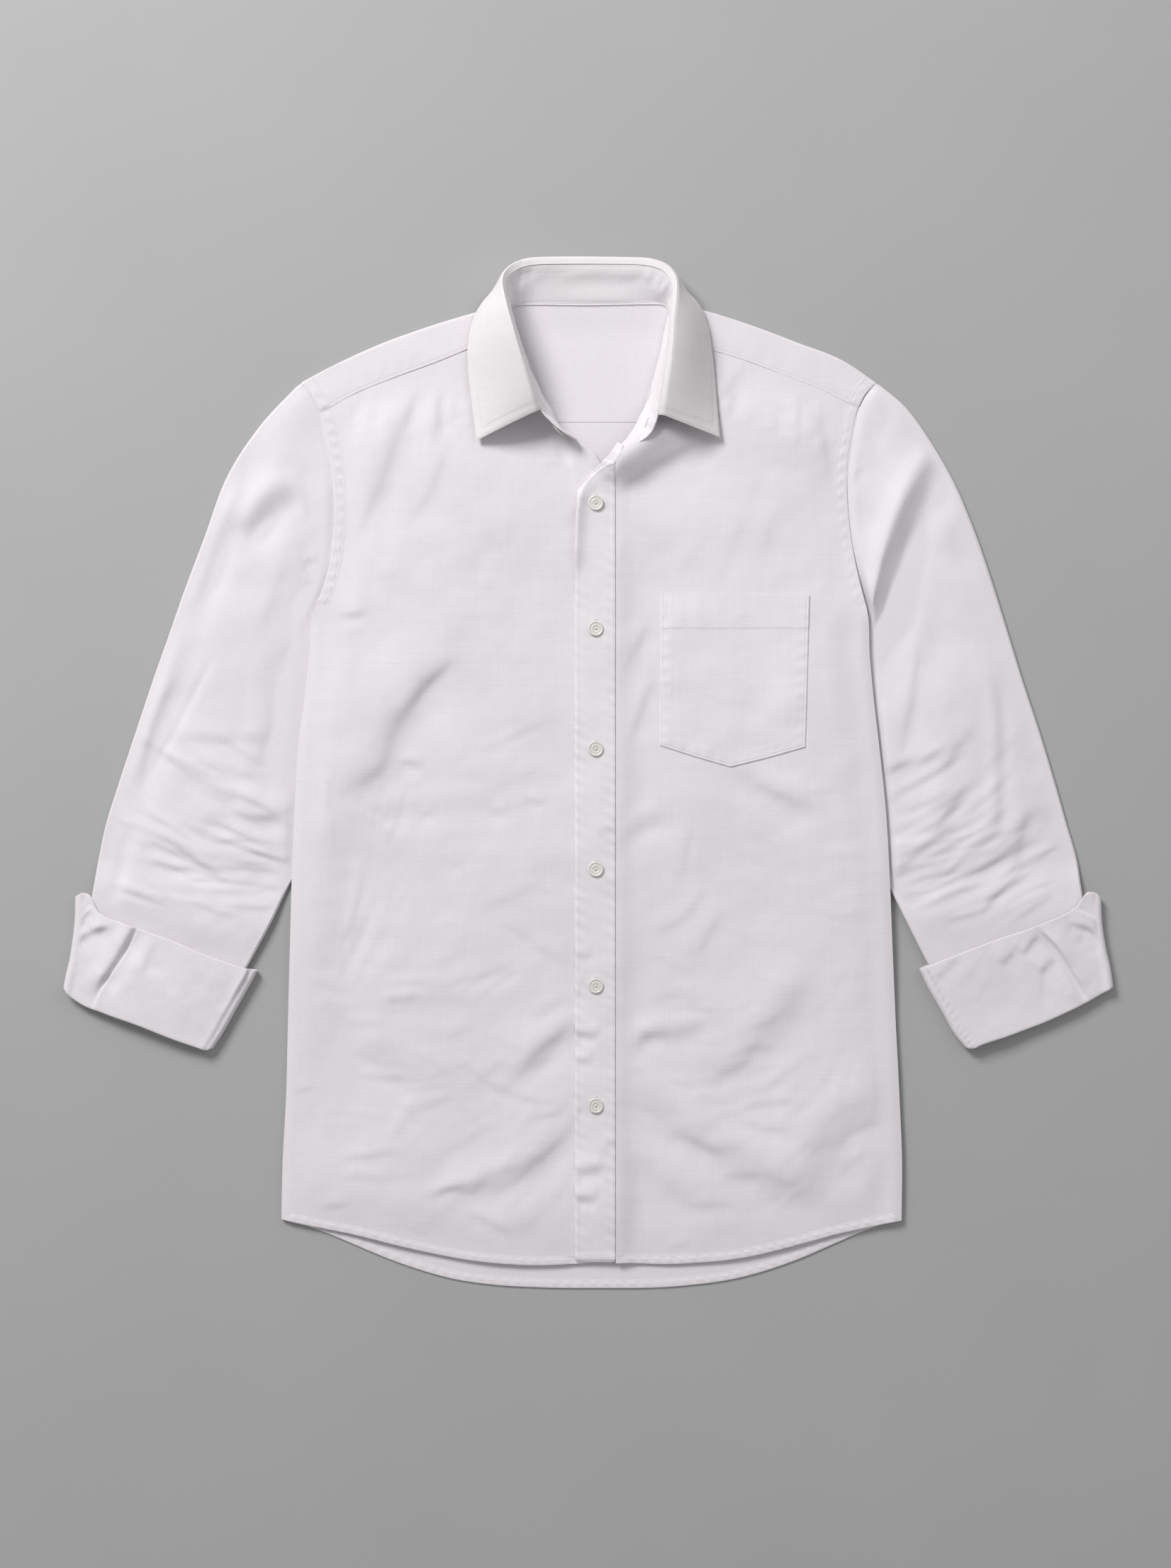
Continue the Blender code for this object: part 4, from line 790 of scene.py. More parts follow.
# Stations of the collar: stand at the neck seam and its top, the leaf's bend and edge
COLLAR_NAMES = " ".join(f"{part}_{axis}" for part in ("base", "top", "bend", "edge")
                        for axis in "xyz")
COLLAR = Table(COLLAR_NAMES, (
    (-9.6, 258.2, 4.8, -8.6, 256.6, 14), (-14, 261.4, 4.8, -14.2, 259.6, 20),
    (-20.5, 267.4, 4.8, -22, 264.4, 23.4), (-26, 275.5, 4.8, -29.6, 271.2, 25),
    (-30.5, 283.5, 4.8, -36, 278.6, 26, -60, 268, 25, -85.8, 256.6, 10),
    (-36.5, 294, 4.8, -40.4, 291.8, 30, -63, 284, 29, -87.8, 270, 8.4),
    (-43, 309.5, 4.8, -45.4, 308.2, 33, -67.5, 302, 32, -90.4, 291, 6.8),
    (-49.5, 326, 4.4, -50.8, 325.3, 35, -73, 320, 33, -92.6, 311, 5.6),
    (-54.5, 339.5, 4, -54.8, 339.3, 35.4, -77, 335, 32, -93, 329, 5),
    (-59, 351, 3.6, -58.8, 353, 34, -79, 350, 28, -90.4, 345, 4.6),
    (-60.5, 357.5, 3.4, -61.2, 363, 31, -77, 361.4, 22, -85, 358.6, 4.4),
    (-59.5, 360.5, 3.3, -62.6, 372.2, 27, -73, 372.1, 14, -76.5, 369.5, 2.2),
    (-56.5, 362, 3.2, -61.2, 379.4, 23.2, -69, 383.8, 8, -66, 377.5, 1.9),
    (-51, 362.4, 3.1, -56.4, 385, 19, -62, 392, 3, -55, 379, 1.8),
    (-45, 362.6, 3.1, -48.6, 389.2, 16, -51.6, 396.4, 1.9, -46, 376, 1.8),
    (-35, 362.6, 3.1, -36, 391.2, 14, -37.2, 398.4, 1.8, -34, 373, 1.8),
    (0, 362.2, 3.1, 0, 391.8, 12.8, 0, 399.4, 1.8, 0, 371, 1.8),
    (35, 362.8, 3.1, 36, 391.2, 14, 37.2, 398.4, 1.8, 34, 373, 1.8),
    (46, 363, 3.1, 49, 389.2, 16, 52.2, 396.4, 1.9, 46.6, 376, 1.8),
    (53, 363, 3.1, 57.6, 385, 19, 63, 392, 3, 56, 379, 1.8),
    (58.5, 362.4, 3.2, 62.8, 378.4, 23.2, 71, 382.8, 8, 68, 377.5, 1.9),
    (61.5, 360, 3.3, 64.6, 371.2, 27, 76, 371.1, 14, 78, 370, 2.2),
    (62.6, 356, 3.4, 64.2, 361.2, 31, 80, 360.4, 22, 86.6, 360.2, 4.4),
    (60.6, 346, 3.8, 62.6, 347, 34.2, 82, 346, 28, 92.6, 344, 4.6),
    (56.2, 326, 4.4, 60.8, 325.3, 35.4, 81, 323, 32, 95.8, 323, 5),
    (50.4, 303.6, 4.8, 57.4, 303, 33.4, 78.5, 300, 32, 98, 300, 6.6),
    (45.4, 289, 4.8, 55, 287.4, 29.8, 77, 282, 28.5, 99.8, 278, 8.2),
    (40.6, 277, 4.8, 53, 274.6, 25.6, 76, 267, 24.5, 101.4, 259, 10),
    (36.6, 268.6, 5.2, 49.6, 264.4, 21.6), (33, 262.4, 5.6, 44.8, 258.4, 18.6),
    (28.6, 257, 6, 36, 253.6, 15), (25, 253.2, 6.2, 26.2, 251.4, 10.4),
))
LEAF_FIRST = 4
LEAF_LAST = 27
ROLL_HEIGHT = 4.6
ROLL_LEAN = 1.4


@dataclass
class Seams:
    """Small sewn details: puckers along a seam and rows of single stitches."""

    pitch: float = 4.2
    stitch: float = 2.0
    gap: float = 0.7
    thread: float = 0.26

    def pucker(self, s: Grid, seed: int) -> Grid:
        """Uneven small waves between -1 and 1 along a seam, s millimetres from its start."""
        strength = 0.55 + 0.45 * soft_line(s, 11.0, seed + 5)
        return strength * np.sin(2.0 * pi * s / self.pitch + 2.2 * soft_line(s, 17.0, seed))

    @staticmethod
    def walk(path: Grid, step: float) -> tuple[Grid, Grid, Grid]:
        """Walks along a path in even steps.

        Args:
            path: Points (n, 2 or 3) of a smooth path.
            step: Distance from point to point.

        Returns:
            The even points, their directions and their distances along the path.
        """
        s = np.concatenate(([0.0], np.cumsum(np.linalg.norm(np.diff(path, axis=0), axis=1))))
        at = spaced(0.0, s[-1], step)
        places = np.stack([np.interp(at, s, values) for values in path.T], axis=1)
        return places, unit(np.gradient(places, axis=0)), at

    def stitches(self, path: Grid, normals: Grid) -> Mesh:
        """Rows of stitches as thin eight-sided grains of thread.

        Args:
            path: Points (n, 3) on the cloth's surface.
            normals: Outward direction at each point of the path, or one for all.

        Returns:
            Points and four-cornered faces of the grains.
        """
        places, ways, _ = self.walk(path, self.stitch + self.gap)
        middle, ways = places[:-1] + 0.5 * np.diff(places, axis=0), ways[:-1]
        up = normals[np.linspace(0, len(normals) - 1, len(middle)).round().astype(int)]
        side = unit(np.cross(ways, up))
        half, thick = 0.5 * self.stitch, 0.5 * self.thread
        rows = [middle + half * along * ways + thick * size * (a * side + 0.8 * b * up) - 0.02 * up
                for along, size in ((-1.0, 0.35), (-0.5, 1.0), (0.5, 1.0), (1.0, 0.35))
                for a, b in ((1, 0), (0, 1), (-1, 0), (0, -1))]
        faces = [(4 * r + k, 4 * r + (k + 1) % 4, 4 * r + 4 + (k + 1) % 4, 4 * r + 4 + k)
                 for r in range(3) for k in range(4)]
        faces = np.array(faces + [(3, 2, 1, 0), (12, 13, 14, 15)])
        base = len(rows) * np.arange(len(middle))[:, None, None]
        return np.stack(rows, axis=1).reshape(-1, 3), (faces[None] + base).reshape(-1, 4)

    def sew(self, name: str, paths: list[Grid], facing: tuple[Grid, ...] = ()) -> Piece:
        """One piece of thread for rows of stitches, with their normals unless these are up."""
        facing = facing or [UP] * len(paths)
        return add_tubes(name, [self.stitches(path, up) for path, up in zip(paths, facing)], THREAD)


@dataclass
class Body:
    """Back and fronts with their hems and side edges, and the felled armhole seams."""

    seams: Seams
    left: Relief
    right: Relief
    lapel: Relief
    hem_fold: float = 7.0
    hem_rise: float = 0.6
    hem_stitch: float = 5.9
    edge_roll: float = 3.2
    edge_drop: float = 1.3
    fell: float = 9.0
    fell_rise: float = 0.4
    fell_lines: tuple[tuple[float, float], ...] = ((8.0, 0.25), (1.6, 0.45))
    neck_level: float = 222.0
    side_loft: float = 1.5
    most_rise: float = 7.0
    hem_spans: tuple[tuple[float, float], ...] = ((-237.4, -10.0), (21.4, 242.2))
    back_span: tuple[float, float] = (-236.0, 241.0)
    back_rise: float = 0.55
    hem_seed: int = 11
    fell_seed: int = 23
    back_seed: int = 37

    def top(self, sign: int, x: Grid, y: Grid) -> Grid:
        """Upper side of the left (-1) or right (1) front; the right one steps at the placket."""
        creases = self.left.height(x, y)
        if sign > 0:
            own = smooth((x - PLACKET_SEAM_X) / 24.0)
            creases = own * self.right.height(x, y) + (1.0 - own) * creases
        free = fullness(x, y)
        creases = free * FRONT_LOFT + np.minimum(1.0, 0.25 + free) * creases
        edge = side_gap(x, np.minimum(y, YOKE_CORNER_Y))
        roll = self.edge_drop * bell(np.maximum(edge, 0.0) / self.edge_roll)
        roll = roll * smooth((ARMPIT_Y + 1.0 - y) / 16.0)
        loft = self.side_loft * smooth((20.0 - edge) / 18.0) * smooth((ARMPIT_Y + 12.0 - y) / 24.0)
        rise = round_off(creases, self.most_rise) + loft * (x > 0.0) - roll
        top = LAYER + CLOTH + lift(x, y, FRONT_RAMP) + rise
        if sign < 0:
            return top
        step = LAYER * smooth(1.0 - (x - PLACKET_SEAM_X) / PLACKET_RAMP)
        return top + step + self.lapel.height(x, y)

    def fell_top(self, sign: int, x: Grid, y: Grid) -> Grid:
        """Upper side of a front and of the yoke beside the armhole."""
        return self.top(sign, x, y) + YOKE_STEP * smooth((y - seam_line(x)) / 2.0 + 0.5)

    def back_top(self, x: Grid, y: Grid) -> Grid:
        """Upper side of the back panel."""
        return lift(x, y) + SHELL

    def front_plan(self, sign: int) -> tuple[Grid, Grid]:
        """Plan of a front: rows from the hem to the top, columns from side to centre.

        Args:
            sign: -1 for the viewer's left front, 1 for the right one.

        Returns:
            Grids of x and y, (columns, rows).
        """
        neck = NECK_LEFT if sign < 0 else NECK_RIGHT
        middle = UNDERLAP_X if sign < 0 else PLACKET_SEAM_X + GAP
        side_x = body_side(sign, YOKE_CORNER_Y)
        top_x = spaced(side_x, middle, PANEL_STEP)
        along_neck = sign * top_x < abs(neck.of["x"][-1])
        top_y = np.where(along_neck, neck.read("x", "y", top_x), seam_line(top_x) + 1.4)
        share = (top_x - side_x) / (middle - side_x)

        def x_at(y: Grid) -> Grid:
            """x of each column at a height."""
            start = body_side(sign, np.minimum(y, YOKE_CORNER_Y))
            return start + share[:, None] * (middle - start)

        top_x, top_y = top_x[:, None], top_y[:, None]
        hem_y = HEMS.read("x", "front", x_at(np.full_like(top_x, HEM_CORNER_Y)))
        level = np.minimum(self.neck_level, top_y - 6.0)
        lower = hem_y + even(int(560.0 / PANEL_STEP)) * (level - hem_y)
        upper = level + even(int(130.0 / PANEL_STEP)) * (top_y - level)
        y = np.concatenate((lower, upper[:, 1:]), axis=1)
        x = x_at(y)
        above = np.clip((y - CHEST_LINE) / (top_y - CHEST_LINE), 0.0, 1.0)
        return x + above ** 3 * (top_x - x), y

    def build_front(self, sign: int) -> Piece:
        """One front as a shell on its solid."""
        x, y = self.front_plan(sign)
        name, over = f"front_{SIDE[sign]}", on(partial(self.top, sign), x, y)
        return cloth_shell(f"cloth_{name}", name, over, SHELL, SHIRTING)

    def build_back(self) -> Piece:
        """Back panel, flat where it rests, with its hem showing below the fronts."""
        seam_y = YOKE_SEAM_Y - GAP
        y = spaced(HEM_CORNER_Y, seam_y, BACK_STEP)[None, :]
        x = body_side(-1, y) + even(int(480 / BACK_STEP)).T * (body_side(1, y) - body_side(-1, y))
        hem = HEMS.read("x", "back", x[:, :1])
        y = hem + (y - HEM_CORNER_Y) / (seam_y - HEM_CORNER_Y) * (seam_y - hem)
        return cloth_shell("cloth_back", "back", on(self.back_top, x, y), SHELL, SHIRTING)

    def band(self, name: str, path: Grid, width: float, top: Height, rise: float, seed: int,
             inward: float = 1.0, skew: float = 0.6) -> Piece:
        """A folded and stitched strip of the cloth along an edge or a seam.

        The strip rises from its outer edge, is held down by its stitch line and runs
        out into the panel, with uneven puckers slanting across it.

        Args:
            name: Name of the piece.
            path: Plan (n, 2) of its outer edge.
            width: Width of the strip.
            top: Upper side of the panel that it lies on.
            rise: How far it stands off the panel.
            seed: Seed of its puckers.
            inward: 1 if the strip lies on the left of its path, else -1.
            skew: How far its puckers slant.

        Returns:
            The strip.
        """
        places, ways, s = self.seams.walk(path, BAND_STEP)
        d = np.concatenate(([0.0, 0.3], spaced(0.8, width, 0.9)))
        x = places[:, :1] - inward * ways[:, 1:] * d
        y = places[:, 1:] + inward * ways[:, :1] * d
        share = d / width
        held = bell((d - 0.82 * width) / 0.9)
        body = rise * np.minimum(1.0, 0.45 + d / 1.2) * (1.0 - smooth((share - 0.86) / 0.14))
        waves = (1.0 - 0.85 * held) * self.seams.pucker(0.42 * (s[:, None] + skew * d), seed)
        ends = (smooth(s / 9.0) * smooth((s[-1] - s) / 9.0))[:, None]
        raised = body * (1.0 - 0.9 * held) + 0.42 * bell((share - 0.6) / 0.33) * waves + 0.35
        z = top(x, y) + ends * raised - 0.3
        return cloth_shell(name, "", points(x, y, z), points(x, y, z - 0.4 - ends * body), SHIRTING)

    def seam_run(self, path: Grid, offset: float, top: Height, above: float) -> Grid:
        """Stitch line on the cloth, `offset` to the left of a plan path."""
        places, ways, _ = self.seams.walk(path, 1.0)
        x, y = places[:, 0] - offset * ways[:, 1], places[:, 1] + offset * ways[:, 0]
        return on(top, x, y, above)

    def hem_path(self, start: float, end: float, which: str) -> Grid:
        """Plan of a stretch of a hem."""
        x = spaced(start, end, 2.0)
        return np.stack((x, HEMS.read("x", which, x)), axis=1)

    def build(self) -> list[Piece]:
        """Builds the back, the fronts, their hems and the armhole seams."""
        back = self.build_back()
        fronts = {sign: self.build_front(sign) for sign in SIDE}
        pieces, runs = [back, *fronts.values()], []
        up = spaced(ARMPIT_Y + 1.0, SHOULDER_Y - 2.0, 2.0)
        for (sign, side), span in zip(SIDE.items(), self.hem_spans):
            top, fell_top = partial(self.top, sign), partial(self.fell_top, sign)
            hem = self.hem_path(*span, "front")
            fell = np.stack((body_side(sign, up), up), axis=1)
            pieces += [self.band(f"hem_{side}", hem, self.hem_fold, top, self.hem_rise,
                                 self.hem_seed + sign),
                       self.band(f"armhole_fell_{side}", fell, self.fell, fell_top, self.fell_rise,
                                 self.fell_seed + sign, inward=sign, skew=0.3)]
            runs.append(self.seam_run(hem, self.hem_stitch, top, 0.25))
            runs += [self.seam_run(fell[5:], sign * offset, fell_top, above)
                     for offset, above in self.fell_lines]
        hem = self.hem_path(*self.back_span, "back")
        pieces.append(self.band("hem_back", hem, self.hem_fold, self.back_top, self.back_rise,
                                self.back_seed))
        runs.append(self.seam_run(hem, self.hem_stitch, self.back_top, 0.2))
        return pieces + [self.seams.sew("stitching_body", runs)]


@dataclass
class Placket:
    """Buttonhole band on the upper front, with its buttonholes and rolled top."""

    seams: Seams
    body: Body
    relief: Relief
    left_line: float = 4.6
    right_line: float = 4.7
    hem_line: float = 7.3
    reach: float = 1.0
    wall: float = 0.9
    facing_wall: float = 0.5
    stitch_top: float = 205.0
    hole_length: float = 12.6
    hole_width: float = 0.95
    bead: float = 0.36
    crest: tuple[float, ...] = (880, 633, 874, 652, 863, 661, 850, 667, 836, 677, 825, 691,
                                819, 704, 816, 718)
    facing: tuple[float, ...] = (871, 627, 860, 643, 848, 655, 837, 664, 825, 676, 817, 689,
                                 813.5, 703, 814.5, 718)

    @staticmethod
    def free_edge(y: Grid) -> Grid:
        """x of the band's free edge at a height."""
        return PLACKET_EDGE.read("y", "free_x", y)

    def top(self, x: Grid, y: Grid) -> Grid:
        """Upper side of the band at (x, y)."""
        s = y - PLACKET_EDGE.of["y"][0]
        left, right = x - self.free_edge(y), PLACKET_SEAM_X - x
        pucker = (bell(left / 8.5) * self.seams.pucker(0.42 * s + 0.2 * left, 51)
                  + bell(right / 8.5) * self.seams.pucker(0.42 * s - 0.2 * right, 57))
        lines = (bell((left - self.left_line) / 0.7) + bell((right - self.right_line) / 0.7)
                 + bell((s - self.hem_line) / 0.8))
        roll = 0.5 * (bell(left / 0.8) + bell(right / 0.8)) + 0.9 * bell((s + self.reach) / 1.3)
        wave = 0.3 * soft_noise(x * 0.4, y, 14.0, 61) + 0.35 * smooth(1.2 - s / self.hem_line)
        ground = self.body.top(-1, x, y) + LAYER + self.body.lapel.height(x, y)
        return ground + 0.3 * pucker - 0.16 * lines - roll + wave + self.relief.height(x, y)

    def build(self) -> list[Piece]:
        """Builds the band, its edge stitching and its buttonholes."""
        low, high = PLACKET_EDGE.of["y"][[0, -1]]
        low = low - self.reach
        y = spaced(low + 2.2, high, FINE_STEP)
        y = np.concatenate((low + np.array((0.0, 0.4, 0.9, 1.5)), y))[:, None]
        share = np.linspace(0.06, 0.94, 24)
        share = np.concatenate(([0.0, 0.012, 0.03], share, [0.97, 0.988, 1.0]))
        free = self.free_edge(y)
        corner = 1.6 * np.clip(1.0 - (y - low) / 2.2, 0.0, 1.0) ** 2
        x = free + corner + share * (PLACKET_SEAM_X - free - 1.4 * corner)
        over = on(self.top, x, np.broadcast_to(y, x.shape))
        piece = cloth_shell("cloth_placket", "placket", over, self.wall, DOUBLED)
        facing = self.build_facing()
        s = spaced(low + 2.0, self.stitch_top, 1.0)
        across = spaced(self.free_edge(low) + 0.9, PLACKET_SEAM_X - 1.0, 1.0)
        runs = [on(self.top, self.free_edge(s) + self.left_line, s),
                on(self.top, np.full_like(s, PLACKET_SEAM_X - self.right_line), s),
                on(self.top, across, np.full_like(across, low + self.reach + self.hem_line))]
        wide, along = slit(self.hole_width, 0.35, 0.5 * self.hole_length, 40)
        holes = [tube(on(self.top, BUTTON_X + wide, y + 1.0 + along, 0.1), self.bead, closed=True)
                 for y in BUTTON_YS]
        return [piece, facing, self.seams.sew("stitching_placket", runs),
                add_tubes("buttonholes", holes, THREAD)]

    def build_facing(self) -> Piece:
        """The strip of the band's inner side that shows where its top rolls over."""
        crest, edge = from_photo(self.crest), from_photo(self.facing)
        keys = np.arange(len(crest))
        crest, edge = (curve(keys, path, np.linspace(0.0, keys[-1], 90)) for path in (crest, edge))
        v = even(12)
        x, y = (crest[:, k, None] + v * (edge - crest)[:, k, None] for k in (0, 1))
        start = self.top(*crest.T)[:, None]
        z = start - 0.75 + 0.75 * np.sin(pi * np.minimum(1.9 * v, 1.0)) - 3.0 * v ** 1.5
        z = np.maximum(z, self.body.top(-1, x, y) + 0.5)
        return cloth_shell("placket_facing", "", points(x, y, z), self.facing_wall, DOUBLED)


@dataclass
class Pocket:
    """Patch pocket: turned edges, a stitched hem along its mouth and stitched corners."""

    seams: Seams
    body: Body
    width: float = 115.8
    wall: float = 0.8
    rise: float = 1.1
    hem_y: float = 110.6
    rim: float = 1.9
    margin: float = 3.6
    turned: float = 9.0
    mouth: tuple[float, float] = (58.0, 169.0)
    corner_y: float = 119.0
    corner_length: float = 17.6

    @staticmethod
    def ends(across: Grid) -> Grid:
        """Bottom x and y and top x and y of the upright line at a share of the width."""
        keys = np.arange(len(POCKET.rows))
        at = across * (len(keys) - 1.0)
        return np.array([np.interp(at, keys, values) for values in POCKET.grid.T])

    def across_at(self, across: Grid, y: Grid) -> Grid:
        """x of the upright line at a share of the width, at a height."""
        low_x, low_y, high_x, high_y = self.ends(across)
        return low_x + (y - low_y) / (high_y - low_y) * (high_x - low_x)

    def top(self, x: Grid, y: Grid, edge: Grid, s: Grid) -> Grid:
        """Upper side of the pocket, `edge` from its nearest sewn edge."""
        ground = self.body.top(1, x, y) + self.rise
        rim = 0.3 * bell((edge - self.rim) / 0.5) + 0.7 * bell(edge / 0.5)
        inner = 0.16 * smooth((edge - self.turned) / 1.2)
        bulge = 0.4 * smooth(edge / 16.0) + 0.5 * soft_noise(x, y, 23.0, 71) * smooth(edge / 8.0)
        pucker = 0.26 * bell((edge - 4.5) / 4.0) * self.seams.pucker(0.42 * s, 73)
        above = y - self.hem_y
        hem = 0.28 * smooth(above / 1.1) - 0.2 * bell((above - 0.9) / 0.5)
        mouth = 0.2 * smooth(above / 2.0) * self.seams.pucker(0.26 * x, 79)
        return ground + bulge + pucker - rim - inner + hem + mouth

    def build(self) -> list[Piece]:
        """Builds the pocket and its stitching."""
        rim = np.array((0.0, 0.3, 0.65, 1.05, 1.45, 1.9, 2.35, 2.9))
        inset = self.margin / self.width
        across = np.concatenate((rim / self.width, np.linspace(inset, 1.0 - inset, 79),
                                 1.0 - rim[::-1] / self.width))[:, None]
        _, low_y, _, high_y = self.ends(across)
        low = low_y + self.margin + even(66) * (self.hem_y - 1.5 - low_y - self.margin)
        high = self.hem_y + 2.4 + even(16) * (high_y - self.hem_y - 2.4)
        middle = self.hem_y + even(9, -1.1, 2.0) + 0.0 * across
        y = np.concatenate((low_y + rim, low, middle, high), axis=1)
        x = self.across_at(np.broadcast_to(across, y.shape), y)
        side = np.minimum(across, 1.0 - across) * self.width
        edge, s = np.minimum(side, (y - low_y) * 0.97), np.where(side < y - low_y, y, x)
        over = points(x, y, self.top(x, y, edge, s))
        piece = cloth_shell("cloth_pocket", "pocket", over, self.wall, DOUBLED)
        return [piece, self.seams.sew("stitching_pocket", self.runs())]

    def runs(self) -> list[Grid]:
        """Rows of stitches: round the edge, under the mouth's hem and across its corners."""
        inset, t = self.rim / self.width, np.linspace(0.0, 1.0, 121)
        bottom = self.ends(t)[1] + self.rim * 1.03
        plans = [(self.across_at(t, bottom), bottom, self.rim)]
        for side, way in ((inset, 1.0), (1.0 - inset, -1.0)):
            _, low, _, high = self.ends(side)
            y = low + 1.5 + t * (high - low - 1.9)
            plans.append((self.across_at(side, y), y, self.rim))
            y = self.corner_y + t * self.corner_length
            plans.append((self.across_at(side + way * 0.044 * t, y), y, 5.0))
        x = spaced(*self.mouth, 1.5)
        plans.append((x, np.full_like(x, self.hem_y + 0.9), self.turned))
        return [points(x, y, self.top(x, y, np.full_like(x, edge), y) + 0.03)
                for x, y, edge in plans]


@dataclass
class Yoke:
    """Yoke in one piece, round both shoulder folds, with its stitched front seams."""

    seams: Seams
    lap: float = 0.9
    radius: float = LAYER - GAP / 2
    flat: int = 14
    crown: int = 22
    front: int = 20
    neck_half: float = 75.0
    neck_rise: float = 2.1

    @staticmethod
    def shoulder(table: Table, sign: int, neck: Table) -> tuple[Grid, Grid]:
        """Fold points and front seam points of one shoulder, armhole to neck."""
        x = spaced(body_side(sign, YOKE_CORNER_Y), neck.of["x"][-1], 1.6)
        fold = [table.read("seam_x", name, x) for name in ("fold_x", "fold_y")]
        return np.stack(fold, axis=1), np.stack((x, seam_line(x)), axis=1)

    def sections(self, bottom: Grid, top: Grid, seam: Grid, size: float) -> Grid:
        """Points (stations, points, 3) of the yoke at a distance `size` from its fold.

        Each section runs flat from the back seam to the fold, half round it, and flat
        above itself to the front seam.
        """
        up = unit(top - bottom)
        rim = top - up * self.radius
        end = seam + self.lap * unit(seam - rim)
        turn = np.radians(even(11, 0.0, 180.0))[:, 1:-1]
        bottom, rim, end, up = (plan[:, None] for plan in (bottom, rim, end, up))
        plan = np.concatenate((bottom + even(self.flat)[..., None] * (rim - bottom),
                               rim + size * np.sin(turn)[..., None] * up,
                               rim + even(self.front)[..., None] * (end - rim)), axis=1)
        rise = np.concatenate((np.full(self.flat, -1.0), -np.cos(turn[0]), np.ones(self.front)))
        grid = points(plan[..., 0], plan[..., 1], self.radius + size * rise)
        for row, sign in ((0, -1), (-1, 1)):
            y = grid[row, :, 1]
            inset = np.abs(y - SHOULDER_Y) > LAYER
            edge = body_side(sign, np.minimum(y, SHOULDER_Y))
            grid[row, :, 0] = np.where(inset, edge, grid[row, :, 0])
        return grid

    def build(self) -> list[Piece]:
        """Builds the yoke and its front stitching."""
        fold_l, seam_l = self.shoulder(YOKE_LEFT, -1, NECK_LEFT)
        fold_r, seam_r = self.shoulder(YOKE_RIGHT, 1, NECK_RIGHT)
        middle = spaced(fold_l[-1, 0], fold_r[-1, 0], 3.0)[1:-1]
        middle = np.stack((middle, np.full_like(middle, NECK_SEAM_BACK_Y)), axis=1)
        top = np.concatenate((fold_l, middle, fold_r[::-1]))
        seam = np.concatenate((seam_l, middle, seam_r[::-1]))
        share = (top[:, 0] - top[0, 0]) / (top[-1, 0] - top[0, 0])
        left, right = (body_side(sign, YOKE_SEAM_Y) for sign in SIDE)
        bottom = np.stack((left + share * (right - left), np.full(len(top), YOKE_SEAM_Y)), axis=1)
        over, under = (self.sections(bottom, top, seam, self.radius - wall)
                       for wall in (0.0, SHELL))
        x, y, z = over[..., 0], over[..., 1], over[..., 2]
        column = np.arange(z.shape[1])
        gap = np.hypot(x - seam[:, :1], y - seam[:, 1:])
        relief = 0.45 * bell(gap / 9.0) * self.seams.pucker(0.3 * x, 91)
        relief += 0.5 * soft_noise(x, y, 19.0, 93) * smooth(gap / 9.0)
        proud = YOKE_STEP * smooth(1.2 - gap / 26.0) - 0.35 * bell(gap / 0.7)
        shown = (z > self.radius) & (column > self.crown)
        dz = np.where(shown, 0.5 * relief * smooth(gap / 3.0) + proud, 0.0)
        behind = (column < self.crown) & (np.abs(x) < self.neck_half)
        neck = self.neck_rise * smooth((y - NECK_SEAM_BACK_Y + 26.0) / 24.0)
        dz = dz + np.where(behind, neck, 0.0)
        over[..., 2] += dz
        under[..., 2] += dz
        keep = np.ones((len(top) - 1, over.shape[1] - 1), dtype=bool)
        keep[len(fold_l) - 1:len(fold_l) + len(middle), self.flat:] = False
        piece = cloth_shell("cloth_yoke", "yoke", over, under, YOKE_CLOTH, keep=keep)
        runs = [points(line[:, 0], line[:, 1] + 1.9, 2.0 * self.radius + YOKE_STEP)
                for line in (seam_l, seam_r)]
        return [piece, self.seams.sew("stitching_yoke", runs)]


@dataclass
class FlatTube:
    """A flattened tube of cloth: an upper layer over a lower one, joined by two folds."""

    sign: int
    table: Table
    relief: Relief
    height: float = 2 * CLOTH + SLEEVE_HOLLOW
    rings: int = 190
    across: int = 78
    beneath: int = 22
    bends: int = 7

    def ring(self, rows: Grid, wall: float) -> tuple[Grid, Grid, Grid]:
        """Sections of the side that lies `wall` inside the tube, at rows of the table.

        Returns:
            Shares of the way across, heights of a flat tube, and widths of the sections.
        """
        radius = self.height / 2
        size = radius - wall
        width = np.linalg.norm(rows[:, 2:4] - rows[:, 0:2], axis=1)[:, None]
        first = radius / width
        turns = np.radians(even(self.bends, 90.0, -90.0))
        bulge, fold = size * np.cos(turns) / width, size * np.sin(turns) + 0.0 * width
        low_u = 1.0 - first - even(self.beneath) * (1.0 - 2.0 * first)
        top_u = first + even(self.across) * (1.0 - 2.0 * first)
        u = np.concatenate((top_u, 1.0 - first + bulge, low_u, first - bulge), axis=1)
        z = np.concatenate((np.full_like(top_u, self.height - wall), radius + fold,
                            np.full_like(low_u, wall), radius - fold), axis=1)
        return u, z, width


